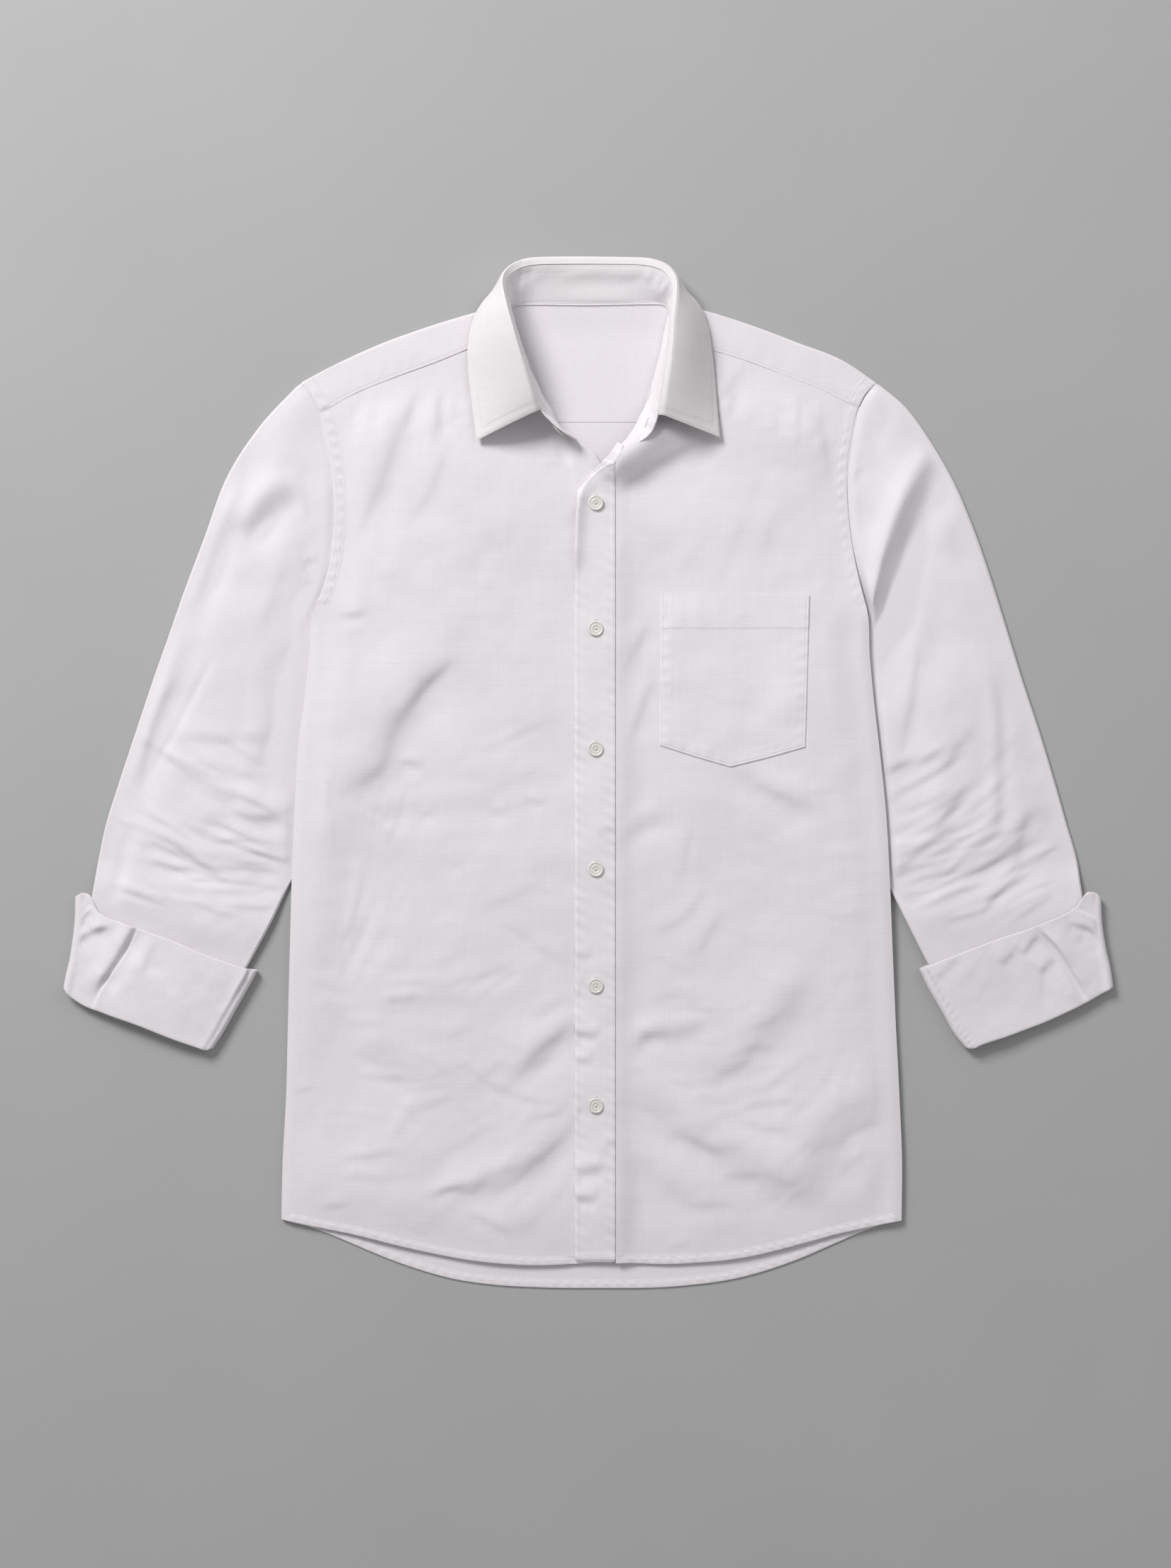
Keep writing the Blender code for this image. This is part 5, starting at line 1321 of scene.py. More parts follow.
@dataclass
class Sleeve(FlatTube):
    """A sleeve from the armhole into its turned-back cuff."""

    tuck: float = 1.8
    cap_z: float = 1.4
    cap_height: float = 0.72
    seam_dip: float = 0.9
    most_rise: float = 13.5
    dense: float = 7.0
    dense_share: float = 0.36

    def armhole(self, u: Grid) -> Grid:
        """Place on the armhole at a share of the way down it."""
        y = SHOULDER_Y + np.clip(u, 0.0, 1.0) * (ARMPIT_Y - SHOULDER_Y)
        return np.stack((body_side(self.sign, y), y), axis=-1)

    def ring_points(self, rows: Grid, wall: float) -> Grid:
        """Points (rings, points, 3) of the tube's side that lies `wall` inside it."""
        u, z, _ = self.ring(rows, wall)
        outer, inner, follow = rows[:, None, 0:2], rows[:, None, 2:4], rows[:, None, 4:5]
        start, end = self.armhole(np.array((0.0, 1.0)))
        bow = self.armhole(u) - (start + u[..., None] * (end - start))
        place = outer + u[..., None] * (inner - outer) + np.clip(follow, 0.0, 1.0) * bow
        z[:, :self.across] += self.full(rows, place[:, :self.across])
        return points(place[..., 0], place[..., 1], z + np.clip(rows[:, 6:7], 0.0, None))

    def full(self, rows: Grid, place: Grid) -> Grid:
        """Height of the top layer over its folds, with the creases, clear of the body."""
        x, y = place[..., 0], place[..., 1]
        beside = self.sign * (x - body_side(self.sign, np.minimum(y, SHOULDER_Y)))
        inward = np.minimum(np.linalg.norm(place - rows[:, None, 0:2], axis=-1),
                            np.linalg.norm(place - rows[:, None, 2:4], axis=-1))
        shape = smooth((beside - 8.0) / 34.0) * smooth(inward / 34.0)
        free = smooth((beside - 0.5) / 6.0) * smooth(inward / 12.0)
        shown = 0.12 + 0.88 * smooth((12.1 - rows[:, 7:8]) / 0.8)
        puff = np.clip(rows[:, 5:6], 0.0, 1.0) * shape * SLEEVE_PUFF
        puff = puff + 0.6 * shown * smooth(beside / 7.0)
        dip = self.seam_dip * bell(beside / (3.2 + 3.8 * smooth((ARMPIT_Y - y) / 20.0)))
        return round_off(puff + free * shown * self.relief.height(x, y), self.most_rise) - dip

    def build(self) -> list[Piece]:
        """Builds the sleeve, with closer rings down to the station `dense`."""
        upper = np.linspace(0.0, self.dense, int(self.dense_share * self.rings), endpoint=False)
        lower = np.linspace(self.dense, len(self.table.rows) - 1.0, self.rings - len(upper))
        at = np.concatenate((upper, lower))
        rows = np.column_stack((self.table.stations(at), at))
        over, under = self.ring_points(rows, 0.0), self.ring_points(rows, SHELL)
        for grid in (over, under):
            grid[0, :, 0] -= self.sign * self.tuck
            grid[0, :, 2] = self.cap_z + self.cap_height * (grid[0, :, 2] - self.cap_z)
        name = f"sleeve_{SIDE[self.sign]}"
        piece = cloth_shell(f"cloth_{name}", name, over, under, SLEEVE_CLOTH[self.sign], ring=True)
        return [piece]


@dataclass(kw_only=True)
class Cuff(FlatTube):
    """A cuff turned back over its sleeve's end: a thick flattened ring."""

    seams: Seams
    free_edge: Table
    fold_edge: Table
    height: float = 2 * CUFF_WALL + CUFF_HOLLOW
    rings: int = 62
    across: int = 150
    beneath: int = 26
    bends: int = 13
    length: float = 66.0
    ply: float = 1.3
    band: float = 0.0
    fold_start: float = 0.97
    lip: float = 0.014
    laid_width: float = 140.0
    deepest: float = -2.0

    @staticmethod
    def edge_bend(table: Table, u: Grid) -> Grid:
        """How far an end of the cuff bends off its straight line, at the shares u."""
        start, end = table.grid[0, 1:], table.grid[-1, 1:]
        here = np.stack([table.read("along", axis, u) for axis in "xy"], axis=-1)
        return here - start - u[..., None] * (end - start)

    def ring_points(self, at: Grid, wall: float) -> Grid:
        """Points (rings, points, 3) of the ring's side that lies `wall` inside it."""
        rows = self.table.stations(at * (len(self.table.rows) - 1.0))
        u, z, width = self.ring(rows, wall)
        outer, inner, share = rows[:, None, 0:2], rows[:, None, 2:4], at[:, None, None]
        place = outer + u[..., None] * (inner - outer)
        clipped = np.clip(u, 0.0, 1.0)
        place = place + (1.0 - share) ** 2 * self.edge_bend(self.free_edge, clipped)
        place = place + share ** 3 * self.edge_bend(self.fold_edge, clipped)
        x, y, top_u = place[..., 0], place[..., 1], u[:, :self.across]
        side = np.maximum(np.minimum(top_u, 1.0 - top_u) * width - self.height / 2, 0.0)
        creases = self.relief.height(x[:, :self.across], y[:, :self.across])
        full = CUFF_PUFF * smooth(side / 30.0) + smooth(side / 5.0) * creases
        if self.band > 0.0:
            inward = (1.0 - top_u) * width
            run = 0.85 * self.length * at[:, None]
            ripple = 0.27 * self.seams.pucker(run + 0.4 * inward, 67) + 0.25
            full = full + ripple * smooth((self.band - inward) / 2.5)
            full = full - 0.5 * bell((inward - self.band) / 0.8)
        z[:, :self.across] += np.maximum(full, self.deepest)
        return points(x, y, z)

    def build(self) -> list[Piece]:
        """Builds the cuff, rounded at its fold, with a stitch line along its band beside the inner
        fold where it has one.
        """
        at = np.linspace(0.024, 0.985, self.rings)
        at = np.concatenate(([0.0, 0.006, self.lip], at, [0.994, 1.0]))
        over, under = self.ring_points(at, 0.0), self.ring_points(at, self.ply)
        bends = ((at - self.fold_start) / (1.0 - self.fold_start), 1.0 - at / self.lip)
        roll, lip = (np.sqrt(1.0 - np.clip(t, 0.0, 1.0) ** 2) for t in bends)
        ease = (roll * (0.45 + 0.55 * lip))[:, None, None]
        middle = 0.5 * (over + under)
        over, under = middle + ease * (over - middle), middle + ease * (under - middle)
        name = f"cuff_{SIDE[self.sign]}"
        piece = cloth_shell(f"cloth_{name}", name, over, under, SLEEVE_CLOTH[self.sign], ring=True)
        if self.band <= 0.0:
            return [piece]
        near = int(round(self.across * (1.0 - self.band / self.laid_width)))
        return [piece, self.seams.sew(f"stitching_{name}", [over[3:-3, near] + 0.02 * UP])]


@dataclass
class Collar:
    """Stand and turned-down leaf of the collar, with their edge stitching."""

    seams: Seams
    stand_steps: int = 190
    stand_line: float = 5.0
    neck_line: float = 2.0
    leaf_steps: int = 210
    leaf_rows: int = 44
    leaf_stitch: float = 5.6
    stitch_inset: int = 5
    button_steps: int = 47
    button_at: int = 3
    hole_length: float = 11.0
    hole: tuple[float, float] = (906.0, 601.0)

    @staticmethod
    def rows(count: int, first: int = 0, last: int = len(COLLAR.rows) - 1) -> list[Grid]:
        """Base, top, bend and edge of the collar at even stations."""
        return np.hsplit(COLLAR.stations(np.linspace(0.0, last - first, count), first, last + 1), 4)

    @staticmethod
    def outward(base: Grid, top: Grid) -> Grid:
        """Unit vectors out of the neck, square to the stand."""
        return unit(np.cross(top - base, np.gradient(0.5 * (base + top), axis=0)))

    def build_stand(self) -> list[Piece]:
        """Builds the band round the neck and the stitching near its top."""
        base, top, _, _ = self.rows(self.stand_steps)
        out, up = self.outward(base, top), unit(top - base)
        tall = np.linalg.norm(top - base, axis=1)[:, None]
        t = np.concatenate(([0.0, 0.02], np.linspace(0.06, 0.95, 22), [0.985, 1.0]))[None, :]
        s = 2.0 * np.arange(self.stand_steps)[:, None]
        below = (1.0 - t) * tall
        wave = 0.4 * self.seams.pucker(0.35 * s + 0.15 * below, 101) * bell((below - 7.0) / 7.0)
        wave = wave + 1.3 * soft_noise(s, 1.5 * below, 17.0, 103) * smooth(below / 6.0)
        lines = bell((below - self.stand_line) / 0.7) + bell((t * tall - self.neck_line) / 0.7)
        grid = base[:, None] + t[..., None] * (top - base)[:, None]
        inside = grid - out[:, None] * (wave - 0.3 * lines)[..., None]
        outside = grid + STIFF_SHELL * out[:, None]
        # The stand and the neck cord below use the stand cloth, lightened as painted light for the
        # stand's inner face.
        piece = cloth_shell("cloth_collar_stand", "collar_stand", outside, inside, STAND_CLOTH_PAINTED_LIGHT)
        rows = ((top - self.stand_line * up, slice(8, -10)),
                (base + self.neck_line * up, slice(6, -8)))
        runs = [(path - 0.1 * out)[part] for path, part in rows]
        sewn = self.seams.sew("stitching_stand", runs, tuple(-out[part] for _, part in rows))
        cord = tube((base + 0.3 * up - 0.25 * out)[22:-30], 0.42)
        cord = add_tubes("neck_seam", [cord], STAND_CLOTH_PAINTED_LIGHT)
        return [piece, sewn, cord, self.stand_hole(base, top, out)]

    def stand_hole(self, base: Grid, top: Grid, out: Grid) -> Piece:
        """Beaded buttonhole in the end of the stand on the viewer's right."""
        middle = 0.45 * base + 0.55 * top - 0.35 * out
        k = int(np.argmin(np.hypot(*(middle[:, :2] - from_photo(self.hole)).T)))
        way, up = unit(middle[k + 3] - middle[k - 3]), unit(top[k] - base[k])
        wide, along = slit(0.75, 0.4, 0.5 * self.hole_length, 36)
        ring = middle[k] + along[:, None] * way + wide[:, None] * up
        return add_tubes("buttonhole_stand", [tube(ring, 0.3, closed=True)], THREAD)

    def button_seat(self) -> tuple[Vector, Vector]:
        """Place and facing of the collar's button, at the stand's end on the viewer's left."""
        base, top, _, _ = self.rows(self.button_steps)
        out = self.outward(base, top)[self.button_at]
        seat = 0.5 * (base + top)[self.button_at] + (COLLAR_WALL + 0.1) * out
        return Vector(seat), Vector(out)

    def leaf_grid(self) -> Grid:
        """Side of the leaf that faces the stand, (stations, points, 3).

        It rises from the stand's top to its roll and falls along a quadratic curve to the edge.
        """
        base, top, bend, edge = self.rows(self.leaf_steps, LEAF_FIRST, LEAF_LAST)
        out, up = self.outward(base, top), unit(top - base)
        seam = top + up * 0.15 + out * (STIFF_SHELL - 0.1)
        roll = top + up * ROLL_HEIGHT + out * (COLLAR_WALL + ROLL_LEAN)
        rise = [seam + t * (roll - seam) for t in (0.0, 0.35, 0.7)]
        fall = [(1 - t) ** 2 * roll + 2 * t * (1 - t) * bend + t * t * edge
                for t in np.linspace(0.0, 1.0, self.leaf_rows)]
        return np.stack(rise + fall, axis=1)

    def build_leaf(self) -> list[Piece]:
        """Builds the leaf and the stitching along both its ends and its outer edge."""
        under = self.leaf_grid()
        normals = grid_normals(under)
        s = np.cumsum(np.linalg.norm(np.diff(under, axis=1), axis=2), axis=1)
        s = np.concatenate((np.zeros((len(under), 1)), s), axis=1)
        run = np.cumsum(np.linalg.norm(np.diff(under[:, -12], axis=0), axis=1))
        run = np.concatenate(([0.0], run))[:, None]
        inward = np.minimum(s[:, -1:] - s, np.minimum(run, run[-1] - run))
        wave = 0.12 * self.seams.pucker(0.4 * run + 0.0 * s, 111) * bell(inward / 6.0)
        wave = wave + 0.3 * soft_noise(run + 0.0 * s, s, 33.0, 113) * smooth(inward / 12.0)
        lines = 0.2 * bell((inward - self.leaf_stitch) / 0.8) + 0.5 * bell(inward / 0.7)
        thick = STIFF_SHELL + wave - lines
        over = under + normals * thick[..., None]
        over[..., 2] = np.maximum(over[..., 2], 0.0)
        # The leaf's cloth is lightened as painted light that lifts the collar's shade.
        piece = cloth_shell("cloth_collar_leaf", "collar_leaf", over, under, COLLAR_CLOTH_PAINTED_LIGHT)
        end = self.stitch_inset
        stop = over.shape[1] - 1 - round(self.leaf_stitch / np.diff(s, axis=1)[:, -6:].mean())
        path, facing = (
            np.concatenate((grid[end, 6:stop], grid[end:-end, stop], grid[-1 - end, stop:6:-1]))
            for grid in (over, normals))
        return [piece, self.seams.sew("stitching_leaf", [path + 0.12 * facing], (facing,))]

    def build(self) -> list[Piece]:
        """Builds the whole collar."""
        return self.build_stand() + self.build_leaf()


@dataclass
class Button:
    """A four-hole shell button, sewn on with crossed thread."""

    name: str
    node: str
    place: Vector
    facing: Vector
    radius: float = BUTTON_RADIUS
    height: float = 1.7
    hole_ring: float = 1.3
    hole: float = 0.5
    hole_depth: float = 0.7
    hole_angles: tuple[float, ...] = (45.0, 135.0, 225.0, 315.0)
    rings: int = 46
    front_rings: int = 26
    sides: int = 48
    outline_r: tuple[float, ...] = (0, 0.12, 0.24, 0.34, 0.41, 0.46, 0.51, 0.57, 0.66, 0.73, 0.78,
                                    0.85, 0.91, 0.96, 1, 0.985, 0.93, 0.8, 0.5, 0)
    outline_z: tuple[float, ...] = (0.66, 0.66, 0.66, 0.67, 0.71, 0.84, 0.86, 0.76, 0.73, 0.76,
                                    0.9, 1, 0.98, 0.86, 0.58, 0.35, 0.15, 0.03, 0, 0)

    @staticmethod
    def hole_way(angle: float) -> Grid:
        """Direction from the button's middle at an angle in degrees."""
        return np.array((cos(radians(angle)), sin(radians(angle)), 0.0))

    def turned(self, verts: Grid) -> Grid:
        """Points of the button turned to its facing and moved to its place."""
        turn = np.array(self.facing.to_track_quat("Z", "Y").to_matrix())
        return verts @ turn.T + np.array(self.place)

    def build(self) -> list[Piece]:
        """Turns the outline about the button's axis, sinks its holes and adds its thread."""
        keys = np.arange(len(self.outline_r))
        at = np.linspace(0.0, keys[-1], self.rings)
        r = self.radius * np.interp(at, keys, self.outline_r)[:, None]
        turn = np.linspace(0.0, 2.0 * pi, self.sides, endpoint=False)
        x, y = r * np.cos(turn), r * np.sin(turn)
        z = self.height * np.interp(at, keys, self.outline_z)[:, None] + 0.0 * turn
        front = np.arange(self.rings)[:, None] < self.front_rings
        for angle in self.hole_angles:
            hx, hy, _ = self.hole_ring * self.hole_way(angle)
            sunk = self.hole_depth * smooth(1.35 - np.hypot(x - hx, y - hy) / self.hole)
            z -= np.where(front, sunk, 0.0)
        index = np.arange(x.size).reshape(x.shape)
        low, high = index[:-1], index[1:]
        quads = np.stack((high, np.roll(high, -1, 1), np.roll(low, -1, 1), low), -1)
        verts = self.turned(points(x, y, z).reshape(-1, 3))
        piece = add_mesh(self.name, verts, quads.reshape(-1, 4), BUTTON_SHELL)
        merge = piece.modifiers.new("poles", "WELD")
        merge.merge_threshold = 0.00002
        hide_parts(self.node)
        return [piece, self.thread()]

    def thread(self) -> Piece:
        """Two crossed stitches of thread between the holes."""
        tubes, t = [], np.linspace(-1.0, 1.0, 9)[:, None]
        for k, angle in enumerate(self.hole_angles[:2]):
            rise = 0.62 * self.height + 0.5 * (1 - t * t) + 0.12 * k - 0.1
            grid, faces = tube(t * self.hole_ring * self.hole_way(angle) + rise * UP, 0.34)
            tubes.append((self.turned(grid), faces))
        return add_tubes(f"{self.name}_thread", tubes, THREAD)


@dataclass
class Studio:
    """Camera at the photograph's place, a pale surface and soft light."""

    centre: tuple[float, float] = (-2.2, -8.8)
    lens: float = 60.0
    sensor: float = 36.0
    half: float = 6000.0
    floor_z: float = -0.4
    sky: tuple[float, ...] = (0.98, 0.985, 1.0, 1.0)
    sky_strength: float = 0.36

    def build(self) -> None:
        """Sets the camera, the surface, the lights and the world."""
        data = bpy.data.cameras.new("camera")
        data.lens = self.lens
        data.sensor_width = self.sensor
        height = PHOTO_HEIGHT * PIXEL * self.lens / self.sensor
        camera = self.put("camera", data, (self.centre[0] * MM, self.centre[1] * MM, height * MM))
        bpy.context.scene.camera = camera
        corners = self.half * np.array(((-1, -1), (1, -1), (1, 1), (-1, 1)))
        verts = points(corners[:, 0], corners[:, 1], self.floor_z)
        add_mesh("surface", verts, np.array(((0, 1, 2, 3),)), PALE_SURFACE)
        self.area("key", (-1.5, 2.12, 2.15), 1.2, 93.5, (1.0, 0.985, 0.985))
        self.area("fill", (2.0, 1.1, 1.9), 1.8, 8.5, (0.98, 0.98, 1.0))
        world = bpy.data.worlds.new("studio")
        world.use_nodes = True
        background = world.node_tree.nodes["Background"]
        background.inputs["Color"].default_value = self.sky
        background.inputs["Strength"].default_value = self.sky_strength
        bpy.context.scene.world = world
        bpy.context.scene.view_settings.view_transform = "Standard"

    @staticmethod
    def put(name: str, data: bpy.types.ID, place: tuple[float, float, float]) -> Piece:
        """Puts a camera or a light into the scene."""
        thing = bpy.data.objects.new(name, data)
        thing.location = place
        bpy.context.scene.collection.objects.link(thing)
        return thing

    def area(self, name: str, place: tuple[float, float, float], size: float, power: float,
             colour: tuple[float, float, float]) -> None:
        """Adds a soft square light that looks at the shirt."""
        data = bpy.data.lights.new(name, "AREA")
        data.size, data.energy, data.color = size, power, colour
        lamp = self.put(name, data, place)
        lamp.rotation_euler = (-Vector(place)).to_track_quat("-Z", "Y").to_euler()


# Creases, listed one by one: path in the photograph's pixels, half width, depth and kind, then
# fans of small ones: centre, spread, angle, turn, length, width, depth, count, seed, soft
LEFT_BODY = Relief((
    ((592, 525, 567, 599, 546, 662, 522, 721, 488, 785), 12, 2.2),
    ((635, 599, 620, 665, 597, 713, 564, 759), 7, 0.8), ((500, 558, 495, 599), 5, 0.5),
    ((655, 458, 650, 479), 3, 0.6),
    ((672, 910, 636, 937, 600, 964, 582, 992, 563, 1019, 550, 1051, 536, 1087, 491, 1119, 477,
     1151), 14, 3.2),
    ((640, 930, 610, 960, 588, 985, 568, 1012), 3, 0.6),
    ((506, 1080, 474, 1180, 462, 1300, 457, 1430, 455, 1560, 452, 1680), 17, 2, Kind.SOFT),
    ((473, 1150, 568, 1143, 673, 1133, 768, 1148), 8, 0.7, Kind.SOFT),
    ((515, 1438, 599, 1412, 694, 1406), 8, 0.7, Kind.SOFT),
    ((700, 1500, 640, 1580, 600, 1680), 26, 1.6, Kind.SOFT), ((473, 870, 520, 868), 3, 0.9),
    ((542, 1240, 514, 1305, 491, 1351, 473, 1401), 3, 0.4),
    ((564, 1242, 540, 1310, 512, 1366, 495, 1408), 3, 0.35),
    ((797, 606, 801, 630, 807, 660, 813, 692), 5, 1.4, Kind.FOLD),
    ((778, 600, 785, 630, 796, 665), 5, 1.2), ((564, 1074, 600, 1083), 3, 0.9),
    ((595, 1146, 614, 1151), 3, 0.7), ((691, 1142, 714, 1151), 3, 0.7),
    ((741, 1124, 768, 1137), 3, 0.8), ((677, 1014, 786, 1033), 12, 0.6),
    ((623, 1208, 655, 1224), 4, 0.5),
    ((688, 1286, 718, 1308, 747, 1327, 794, 1359, 808, 1370), 3.4, 0.5),
    ((745, 1328, 714, 1365, 655, 1383, 595, 1396), 4.5, 0.5),
    ((810, 1405, 775, 1422, 750, 1442), 5, 0.6, Kind.SOFT),
    ((830, 1430, 784, 1466, 752, 1496, 716, 1532), 10, 2.1, Kind.SOFT),
    ((800, 1452, 762, 1480, 738, 1508), 4, 0.6), ((776, 1486, 750, 1512), 3.4, 0.4),
    ((633, 1492, 662, 1509, 692, 1530, 733, 1547, 767, 1555, 808, 1556), 2.8, 0.5),
    ((808, 1559, 775, 1572, 733, 1584), 4, 0.5),
    ((490, 1470, 567, 1505, 610, 1532), 11, 1, Kind.SOFT),
    ((596, 1534, 575, 1559, 558, 1592, 537, 1626), 5, 0.6, Kind.RIDGE),
    ((836, 1566, 790, 1606, 758, 1640, 700, 1668, 600, 1690), 11, 2.1, Kind.SOFT),
    ((800, 1598, 772, 1626, 748, 1648), 4, 0.6), ((740, 1640, 706, 1656), 3.4, 0.4),
    ((692, 1663, 667, 1680, 633, 1676, 608, 1697), 3.2, 0.5), ((471, 1576, 481, 1567), 2.6, 0.5),
    ((475, 1638, 504, 1632, 575, 1624), 3, 0.6), ((596, 1453, 650, 1459), 5, 0.6, Kind.RIDGE),
    ((600, 1405, 700, 1400, 808, 1401), 11, 0.8, Kind.RIDGE), ((537, 1413, 596, 1405), 4, 0.7),
    ((412, 1542, 446, 1534), 3, 0.7), ((447, 1704, 497, 1699), 3, 0.7),
    ((571, 1734, 608, 1742), 3, 0.6), ((650, 1709, 675, 1717, 708, 1734, 729, 1747), 3.2, 0.7),
    ((612, 1696, 632, 1678, 697, 1663), 3.2, 0.5),
), (
    ((515, 1225), (48, 90), 76, -10, 90, 3.2, 0.4, 16, 5, True),
    ((640, 760), (110, 130), 110, 14, 80, 9, 0.5, 8, 7, True),
    ((640, 1540), (180, 190), 24, 46, 60, 4, 0.34, 64, 8, True),
    ((640, 1400), (140, 200), -34, 18, 75, 3.4, 0.26, 18, 12, True),
    ((640, 1150), (120, 120), -8, 40, 55, 5, 0.3, 10, 9, True),
    ((555, 590), (95, 22), 80, 8, 55, 6, 0.8, 13, 10, True),
), seed=3, gain=0.75)
RIGHT_BODY = Relief((
    ((1157, 548, 1159, 605, 1169, 659, 1175, 712), 6, 1.1), ((1185, 566, 1185, 587), 3, 0.7),
    ((1012, 572, 1034, 540, 1064, 506), 7, 1.6),
    ((916, 876, 902, 905, 882, 941, 873, 965), 4.5, 1.1),
    ((924, 956, 907, 994, 894, 1033, 887, 1057), 4.5, 1),
    ((1000, 1072, 1040, 1092, 1074, 1108, 1108, 1128, 1174, 1154), 9, 1.7, Kind.SOFT),
    ((1060, 1106, 1085, 1116, 1110, 1132), 4, 0.5),
    ((858, 1200, 888, 1172, 946, 1148), 7, 1.3, Kind.SOFT), ((975, 1165, 960, 1245), 4, 0.5),
    ((990, 1160, 975, 1240), 4, 0.4, Kind.RIDGE), ((1000, 1245, 965, 1295, 915, 1320), 4.5, 0.6),
    ((1020, 1280, 980, 1355), 4, 0.5), ((1160, 1200, 1230, 1202), 5, 0.6, Kind.RIDGE),
    ((1160, 1350, 1118, 1412, 1078, 1460, 1036, 1500, 960, 1536), 15, 2.8, Kind.SOFT),
    ((1070, 1480, 1040, 1506, 1000, 1520), 4, 0.5), ((950, 1390, 975, 1405), 3, 0.5),
    ((880, 1496, 912, 1462, 952, 1458, 1010, 1442), 7, 1.3, Kind.SOFT),
    ((902, 1478, 916, 1460, 940, 1462), 3.4, 0.5), ((885, 1507, 905, 1515), 3, 0.5),
    ((975, 1547, 1020, 1550), 3.2, 0.5), ((1050, 1480, 1100, 1480), 3.2, 0.5),
    ((1040, 1565, 1080, 1555, 1115, 1555, 1130, 1565), 3.2, 0.6),
    ((1035, 1575, 1070, 1590, 1125, 1595), 3.4, 0.7),
    ((836, 1516, 926, 1562, 978, 1604, 1063, 1652, 1190, 1712), 15, 2.6, Kind.SOFT),
    ((940, 1580, 985, 1612, 1030, 1634), 4.4, 0.6),
    ((840, 1610, 936, 1662, 1020, 1716), 12, 1.7, Kind.SOFT),
    ((930, 1600, 980, 1610, 1025, 1635), 4, 0.6), ((1015, 1660, 1075, 1655), 3.2, 0.6),
    ((1080, 1655, 1120, 1675), 3.2, 0.6),
    ((1275, 1558, 1205, 1574, 1162, 1620, 1140, 1700), 16, 2.4, Kind.SOFT),
    ((1250, 1580, 1200, 1596, 1176, 1630), 4.4, 0.5),
    ((1240, 1620, 1200, 1640, 1180, 1672), 5, 0.5), ((940, 1760, 975, 1757), 3, 0.6),
), (
    ((1040, 1540), (180, 180), 10, 60, 58, 4, 0.34, 64, 15, True),
    ((1040, 1400), (150, 200), -30, 18, 70, 3.4, 0.26, 18, 19, True),
    ((1060, 1200), (140, 90), 150, 40, 60, 4.5, 0.3, 12, 16, True),
    ((1060, 700), (110, 110), 80, 20, 80, 9, 0.4, 7, 17, True),
    ((1110, 585), (85, 20), 92, 8, 55, 6, 0.8, 13, 18, True),
), seed=9, gain=0.75)
LEFT_SLEEVE = Relief((
    ((422, 678, 398, 699, 375, 720, 353, 742, 330, 764), 11, 5.4, Kind.SOFT),
    ((382, 668, 402, 716, 418, 764, 430, 815, 436, 880), 7, 1.6, Kind.CREST),
    ((350, 640, 335, 705, 317, 754, 301, 793, 286, 840, 266, 900), 8, 2.2, Kind.SOFT),
    ((286, 850, 262, 915, 240, 980, 214, 1050, 188, 1125, 170, 1190), 10, 2, Kind.SOFT),
    ((398, 960, 390, 1010, 376, 1060, 360, 1110), 9, 1.3, Kind.SOFT),
    ((414, 650, 430, 700, 434, 746), 4, 0.8), ((428, 792, 449, 794), 3, 0.7),
    ((426, 826, 451, 824), 3, 0.8),
    ((314, 908, 278, 974, 248, 1033, 227, 1068, 197, 1117), 3, 1.7, Kind.LINE),
    ((263, 936, 227, 1002, 207, 1066, 197, 1130), 6, 1.3),
    ((216, 1040, 300, 1043, 380, 1041, 413, 1045), 4, 0.8), ((324, 1096, 408, 1094), 5, 0.5),
    ((309, 1107, 340, 1120, 378, 1144, 412, 1170), 3.6, 0.8),
    ((290, 1150, 330, 1172, 375, 1194, 410, 1212), 3.6, 0.9),
    ((250, 1156, 295, 1180, 345, 1202), 3.6, 0.8), ((202, 1183, 240, 1200, 290, 1212), 3.6, 0.8),
    ((209, 1216, 270, 1232, 340, 1244), 3.6, 0.8), ((248, 1246, 300, 1258, 360, 1262), 3.6, 0.8),
    ((263, 1268, 300, 1284, 340, 1296), 3.6, 0.7),
    ((183, 1160, 174, 1220, 160, 1282), 6, 2.4, Kind.TROUGH),
), (
    ((310, 1160), (95, 110), -28, 12, 95, 3.4, 0.6, 40, 21, True),
    ((290, 1235), (105, 60), -10, 10, 90, 3.4, 0.6, 26, 24, True),
    ((360, 820), (60, 100), 66, 12, 80, 8, 0.3, 8, 22, True),
    ((310, 1150), (90, 120), -20, 30, 90, 9, 1.8, 10, 23, True),
), seed=17, gain=0.68)
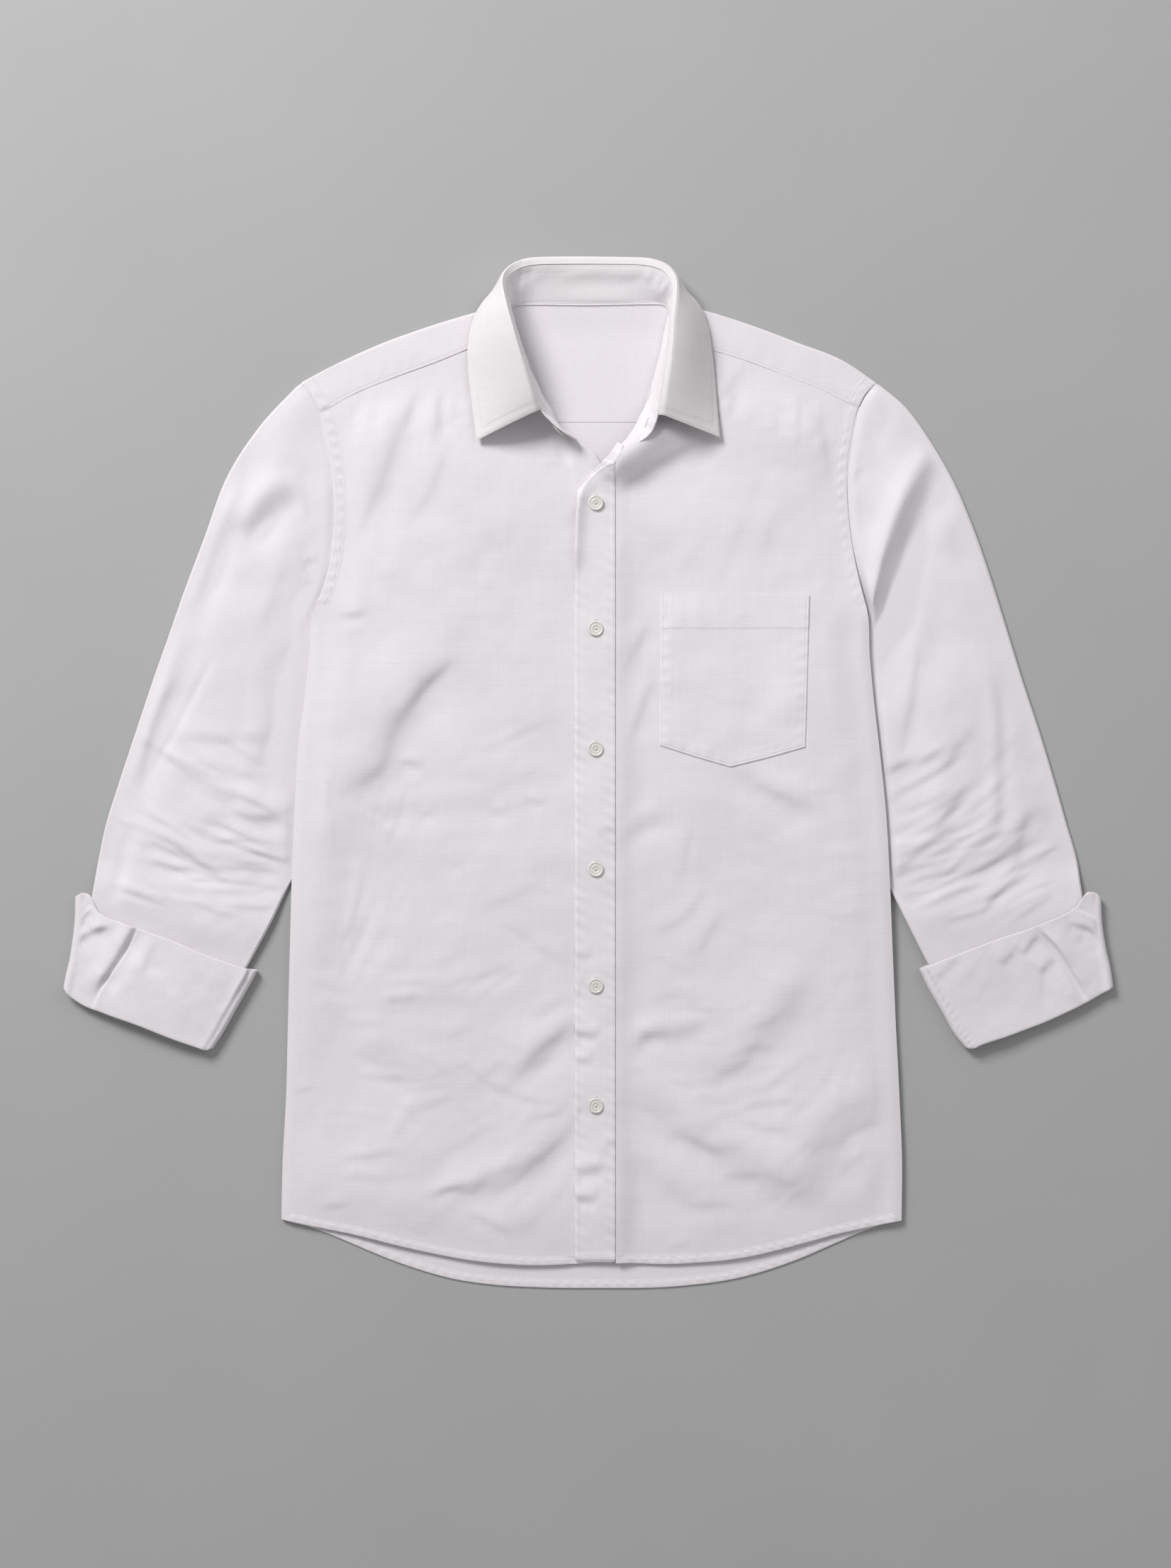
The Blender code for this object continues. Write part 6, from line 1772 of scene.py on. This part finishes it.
RIGHT_SLEEVE = Relief((
    ((1336, 618, 1304, 650, 1281, 686, 1264, 724, 1250, 764, 1239, 804, 1231, 842, 1225, 882,
     1221, 940), 6, 7.5, Kind.CREST),
    ((1344, 632, 1316, 662, 1295, 698, 1279, 736, 1265, 778, 1254, 818, 1246, 858, 1240, 910), 12,
     6, Kind.SOFT),
    ((1211, 593, 1226, 618, 1238, 642), 4, 0.9), ((1238, 550, 1247, 612), 5, 0.8),
    ((1198, 691, 1214, 658), 3, 0.8),
    ((1294, 880, 1292, 938, 1285, 990, 1275, 1035, 1264, 1091), 7, 2),
    ((1400, 930, 1408, 1040, 1406, 1140, 1402, 1210), 5, 1.2, Kind.SOFT),
    ((1261, 1150, 1300, 1136, 1350, 1110), 3.6, 0.8),
    ((1270, 1190, 1320, 1160, 1370, 1122), 3.6, 0.9),
    ((1320, 1184, 1360, 1165, 1400, 1138), 3.6, 0.8),
    ((1310, 1212, 1366, 1192, 1414, 1168), 3.6, 0.8),
    ((1380, 1212, 1420, 1195, 1450, 1176), 3.6, 0.7),
    ((1340, 1244, 1394, 1220, 1440, 1192), 3.6, 0.8),
    ((1296, 1284, 1338, 1262, 1400, 1244), 3.6, 0.9),
    ((1370, 1278, 1420, 1252, 1464, 1222), 3.6, 0.8),
), (
    ((1340, 1150), (95, 110), 34, 12, 95, 3.4, 0.6, 40, 31, True),
    ((1360, 1230), (105, 60), 22, 10, 90, 3.4, 0.6, 26, 34, True),
    ((1290, 820), (60, 110), 100, 12, 80, 8, 0.6, 8, 32, True),
    ((1345, 1130), (90, 120), 50, 30, 90, 9, 2, 10, 33, True),
), seed=23, gain=0.68)
LEFT_CUFF = Relief((
    ((210, 1291, 206, 1297, 194, 1315, 179, 1345, 161, 1372, 149, 1390, 139, 1410, 126, 1440), 5,
     2.2, Kind.FOLD),
    ((208, 1290, 192, 1312, 176, 1342, 159, 1368, 146, 1388, 134, 1412), 4, 2.6),
    ((135, 1270, 133, 1276, 120, 1290, 110, 1304, 100, 1322, 94, 1336), 5, 1.6, Kind.FOLD),
    ((134, 1282, 118, 1294, 106, 1312), 4, 1.6),
    ((160, 1308, 140, 1312, 120, 1322, 106, 1334), 4, 1.4),
    ((170, 1306, 150, 1306, 130, 1313), 4, 0.8, Kind.RIDGE),
    ((225, 1322, 212, 1350, 205, 1380), 6, 0.6),
    ((296, 1500, 305, 1475, 325, 1440, 341, 1401, 352, 1367, 358, 1345), 6, 3, Kind.FOLD),
), (
    ((250, 1390), (80, 40), -70, 18, 36, 6, 0.3, 9, 41),
), seed=29)
RIGHT_CUFF = Relief((
    ((1456, 1302, 1464, 1311, 1479, 1326, 1495, 1346, 1512, 1374, 1530, 1404, 1538, 1418), 8, 4.4,
     Kind.FOLD),
    ((1494, 1344, 1508, 1378, 1522, 1402, 1532, 1412), 4, 1.2),
    ((1466, 1318, 1452, 1330, 1440, 1350), 4, 0.8),
    ((1500, 1300, 1532, 1311, 1550, 1328, 1561, 1344), 4.5, 1.8),
    ((1505, 1313, 1530, 1324, 1548, 1343), 5, 1, Kind.RIDGE),
    ((1551, 1310, 1540, 1296, 1520, 1283, 1513, 1280), 3, 1.4, Kind.FOLD),
    ((1488, 1350, 1475, 1362, 1462, 1375), 5, 0.9), ((1430, 1342, 1405, 1362), 5, 0.6),
), (
    ((1400, 1380), (80, 40), 62, 18, 40, 6, 0.3, 9, 43),
), seed=31)
LAPEL = Relief((
    ((968, 588, 930, 608, 900, 628, 876, 648, 852, 664, 832, 680), 13, 8, Kind.RIDGE),
    ((1010, 606, 965, 634, 924, 658, 888, 682, 866, 700), 12, 3.4),
    ((846, 668, 826, 688, 816, 708, 813, 735, 811, 780, 811, 820), 6, 3.6, Kind.RIDGE),
), waves=())
PLACKET_CREASES = Relief((
    ((806, 1462, 824, 1459, 848, 1462), 4.5, 0.75, Kind.SOFT),
    ((806, 1500, 822, 1497, 840, 1494), 4, 0.5, Kind.SOFT),
    ((806, 1655, 828, 1650, 856, 1646), 5, 0.9, Kind.SOFT),
    ((806, 1695, 824, 1690, 846, 1692), 4.5, 0.8, Kind.SOFT),
    ((846, 1622, 860, 1616, 870, 1608), 4, 0.4, Kind.SOFT),
    ((808, 1352, 822, 1348, 840, 1346), 4, 0.35, Kind.SOFT),
    ((842, 1180, 856, 1172, 870, 1170), 4, 0.3, Kind.SOFT),
), waves=())


def dress(pieces: list[Piece]) -> None:
    """Lets every piece ride the frame's body."""
    for piece in pieces:
        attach(piece, "root")


def buttons(placket: Placket, collar: Collar) -> list[Piece]:
    """Builds the placket's six buttons and the collar's button."""
    made = []
    for index, y in enumerate(BUTTON_YS):
        seat = Vector(on(placket.top, np.array((BUTTON_X,)), np.array((y,)), 0.1)[0])
        facing = Vector((0.02 * (index % 3 - 1), 0.03 * (index % 2), 1.0))
        name = f"button_{index + 1}"
        made += Button(f"shell_{name}", name, seat, facing).build()
    return made + Button("shell_button_collar", "button_collar", *collar.button_seat()).build()


def main() -> None:
    """Builds the shirt, the surface, the lights and the camera."""
    logging.basicConfig(level=logging.INFO, format="%(message)s")
    seams = Seams()
    body = Body(seams, LEFT_BODY, RIGHT_BODY, LAPEL)
    placket, collar = Placket(seams, body, PLACKET_CREASES), Collar(seams)
    parts = {
        "body": body.build,
        "placket": placket.build,
        "pocket": Pocket(seams, body).build,
        "yoke": Yoke(seams).build,
        "left sleeve": Sleeve(-1, SLEEVE_LEFT, LEFT_SLEEVE).build,
        "right sleeve": Sleeve(1, SLEEVE_RIGHT, RIGHT_SLEEVE).build,
        "left cuff": Cuff(-1, CUFF_LEFT, LEFT_CUFF, seams=seams, free_edge=FREE_EDGE_LEFT,
                          fold_edge=FOLD_EDGE_LEFT).build,
        "right cuff": Cuff(1, CUFF_RIGHT, RIGHT_CUFF, seams=seams, free_edge=FREE_EDGE_RIGHT,
                           fold_edge=FOLD_EDGE_RIGHT, band=11.0).build,
        "collar": collar.build,
        "buttons": partial(buttons, placket, collar),
    }
    for name, build in parts.items():
        pieces = build()
        dress(pieces)
        count = sum(2 * len(piece.data.polygons) for piece in pieces)
        LOG.info("%s: %d pieces, about %d triangles", name, len(pieces), count)
    Studio().build()


if __name__ == "__main__":
    main()
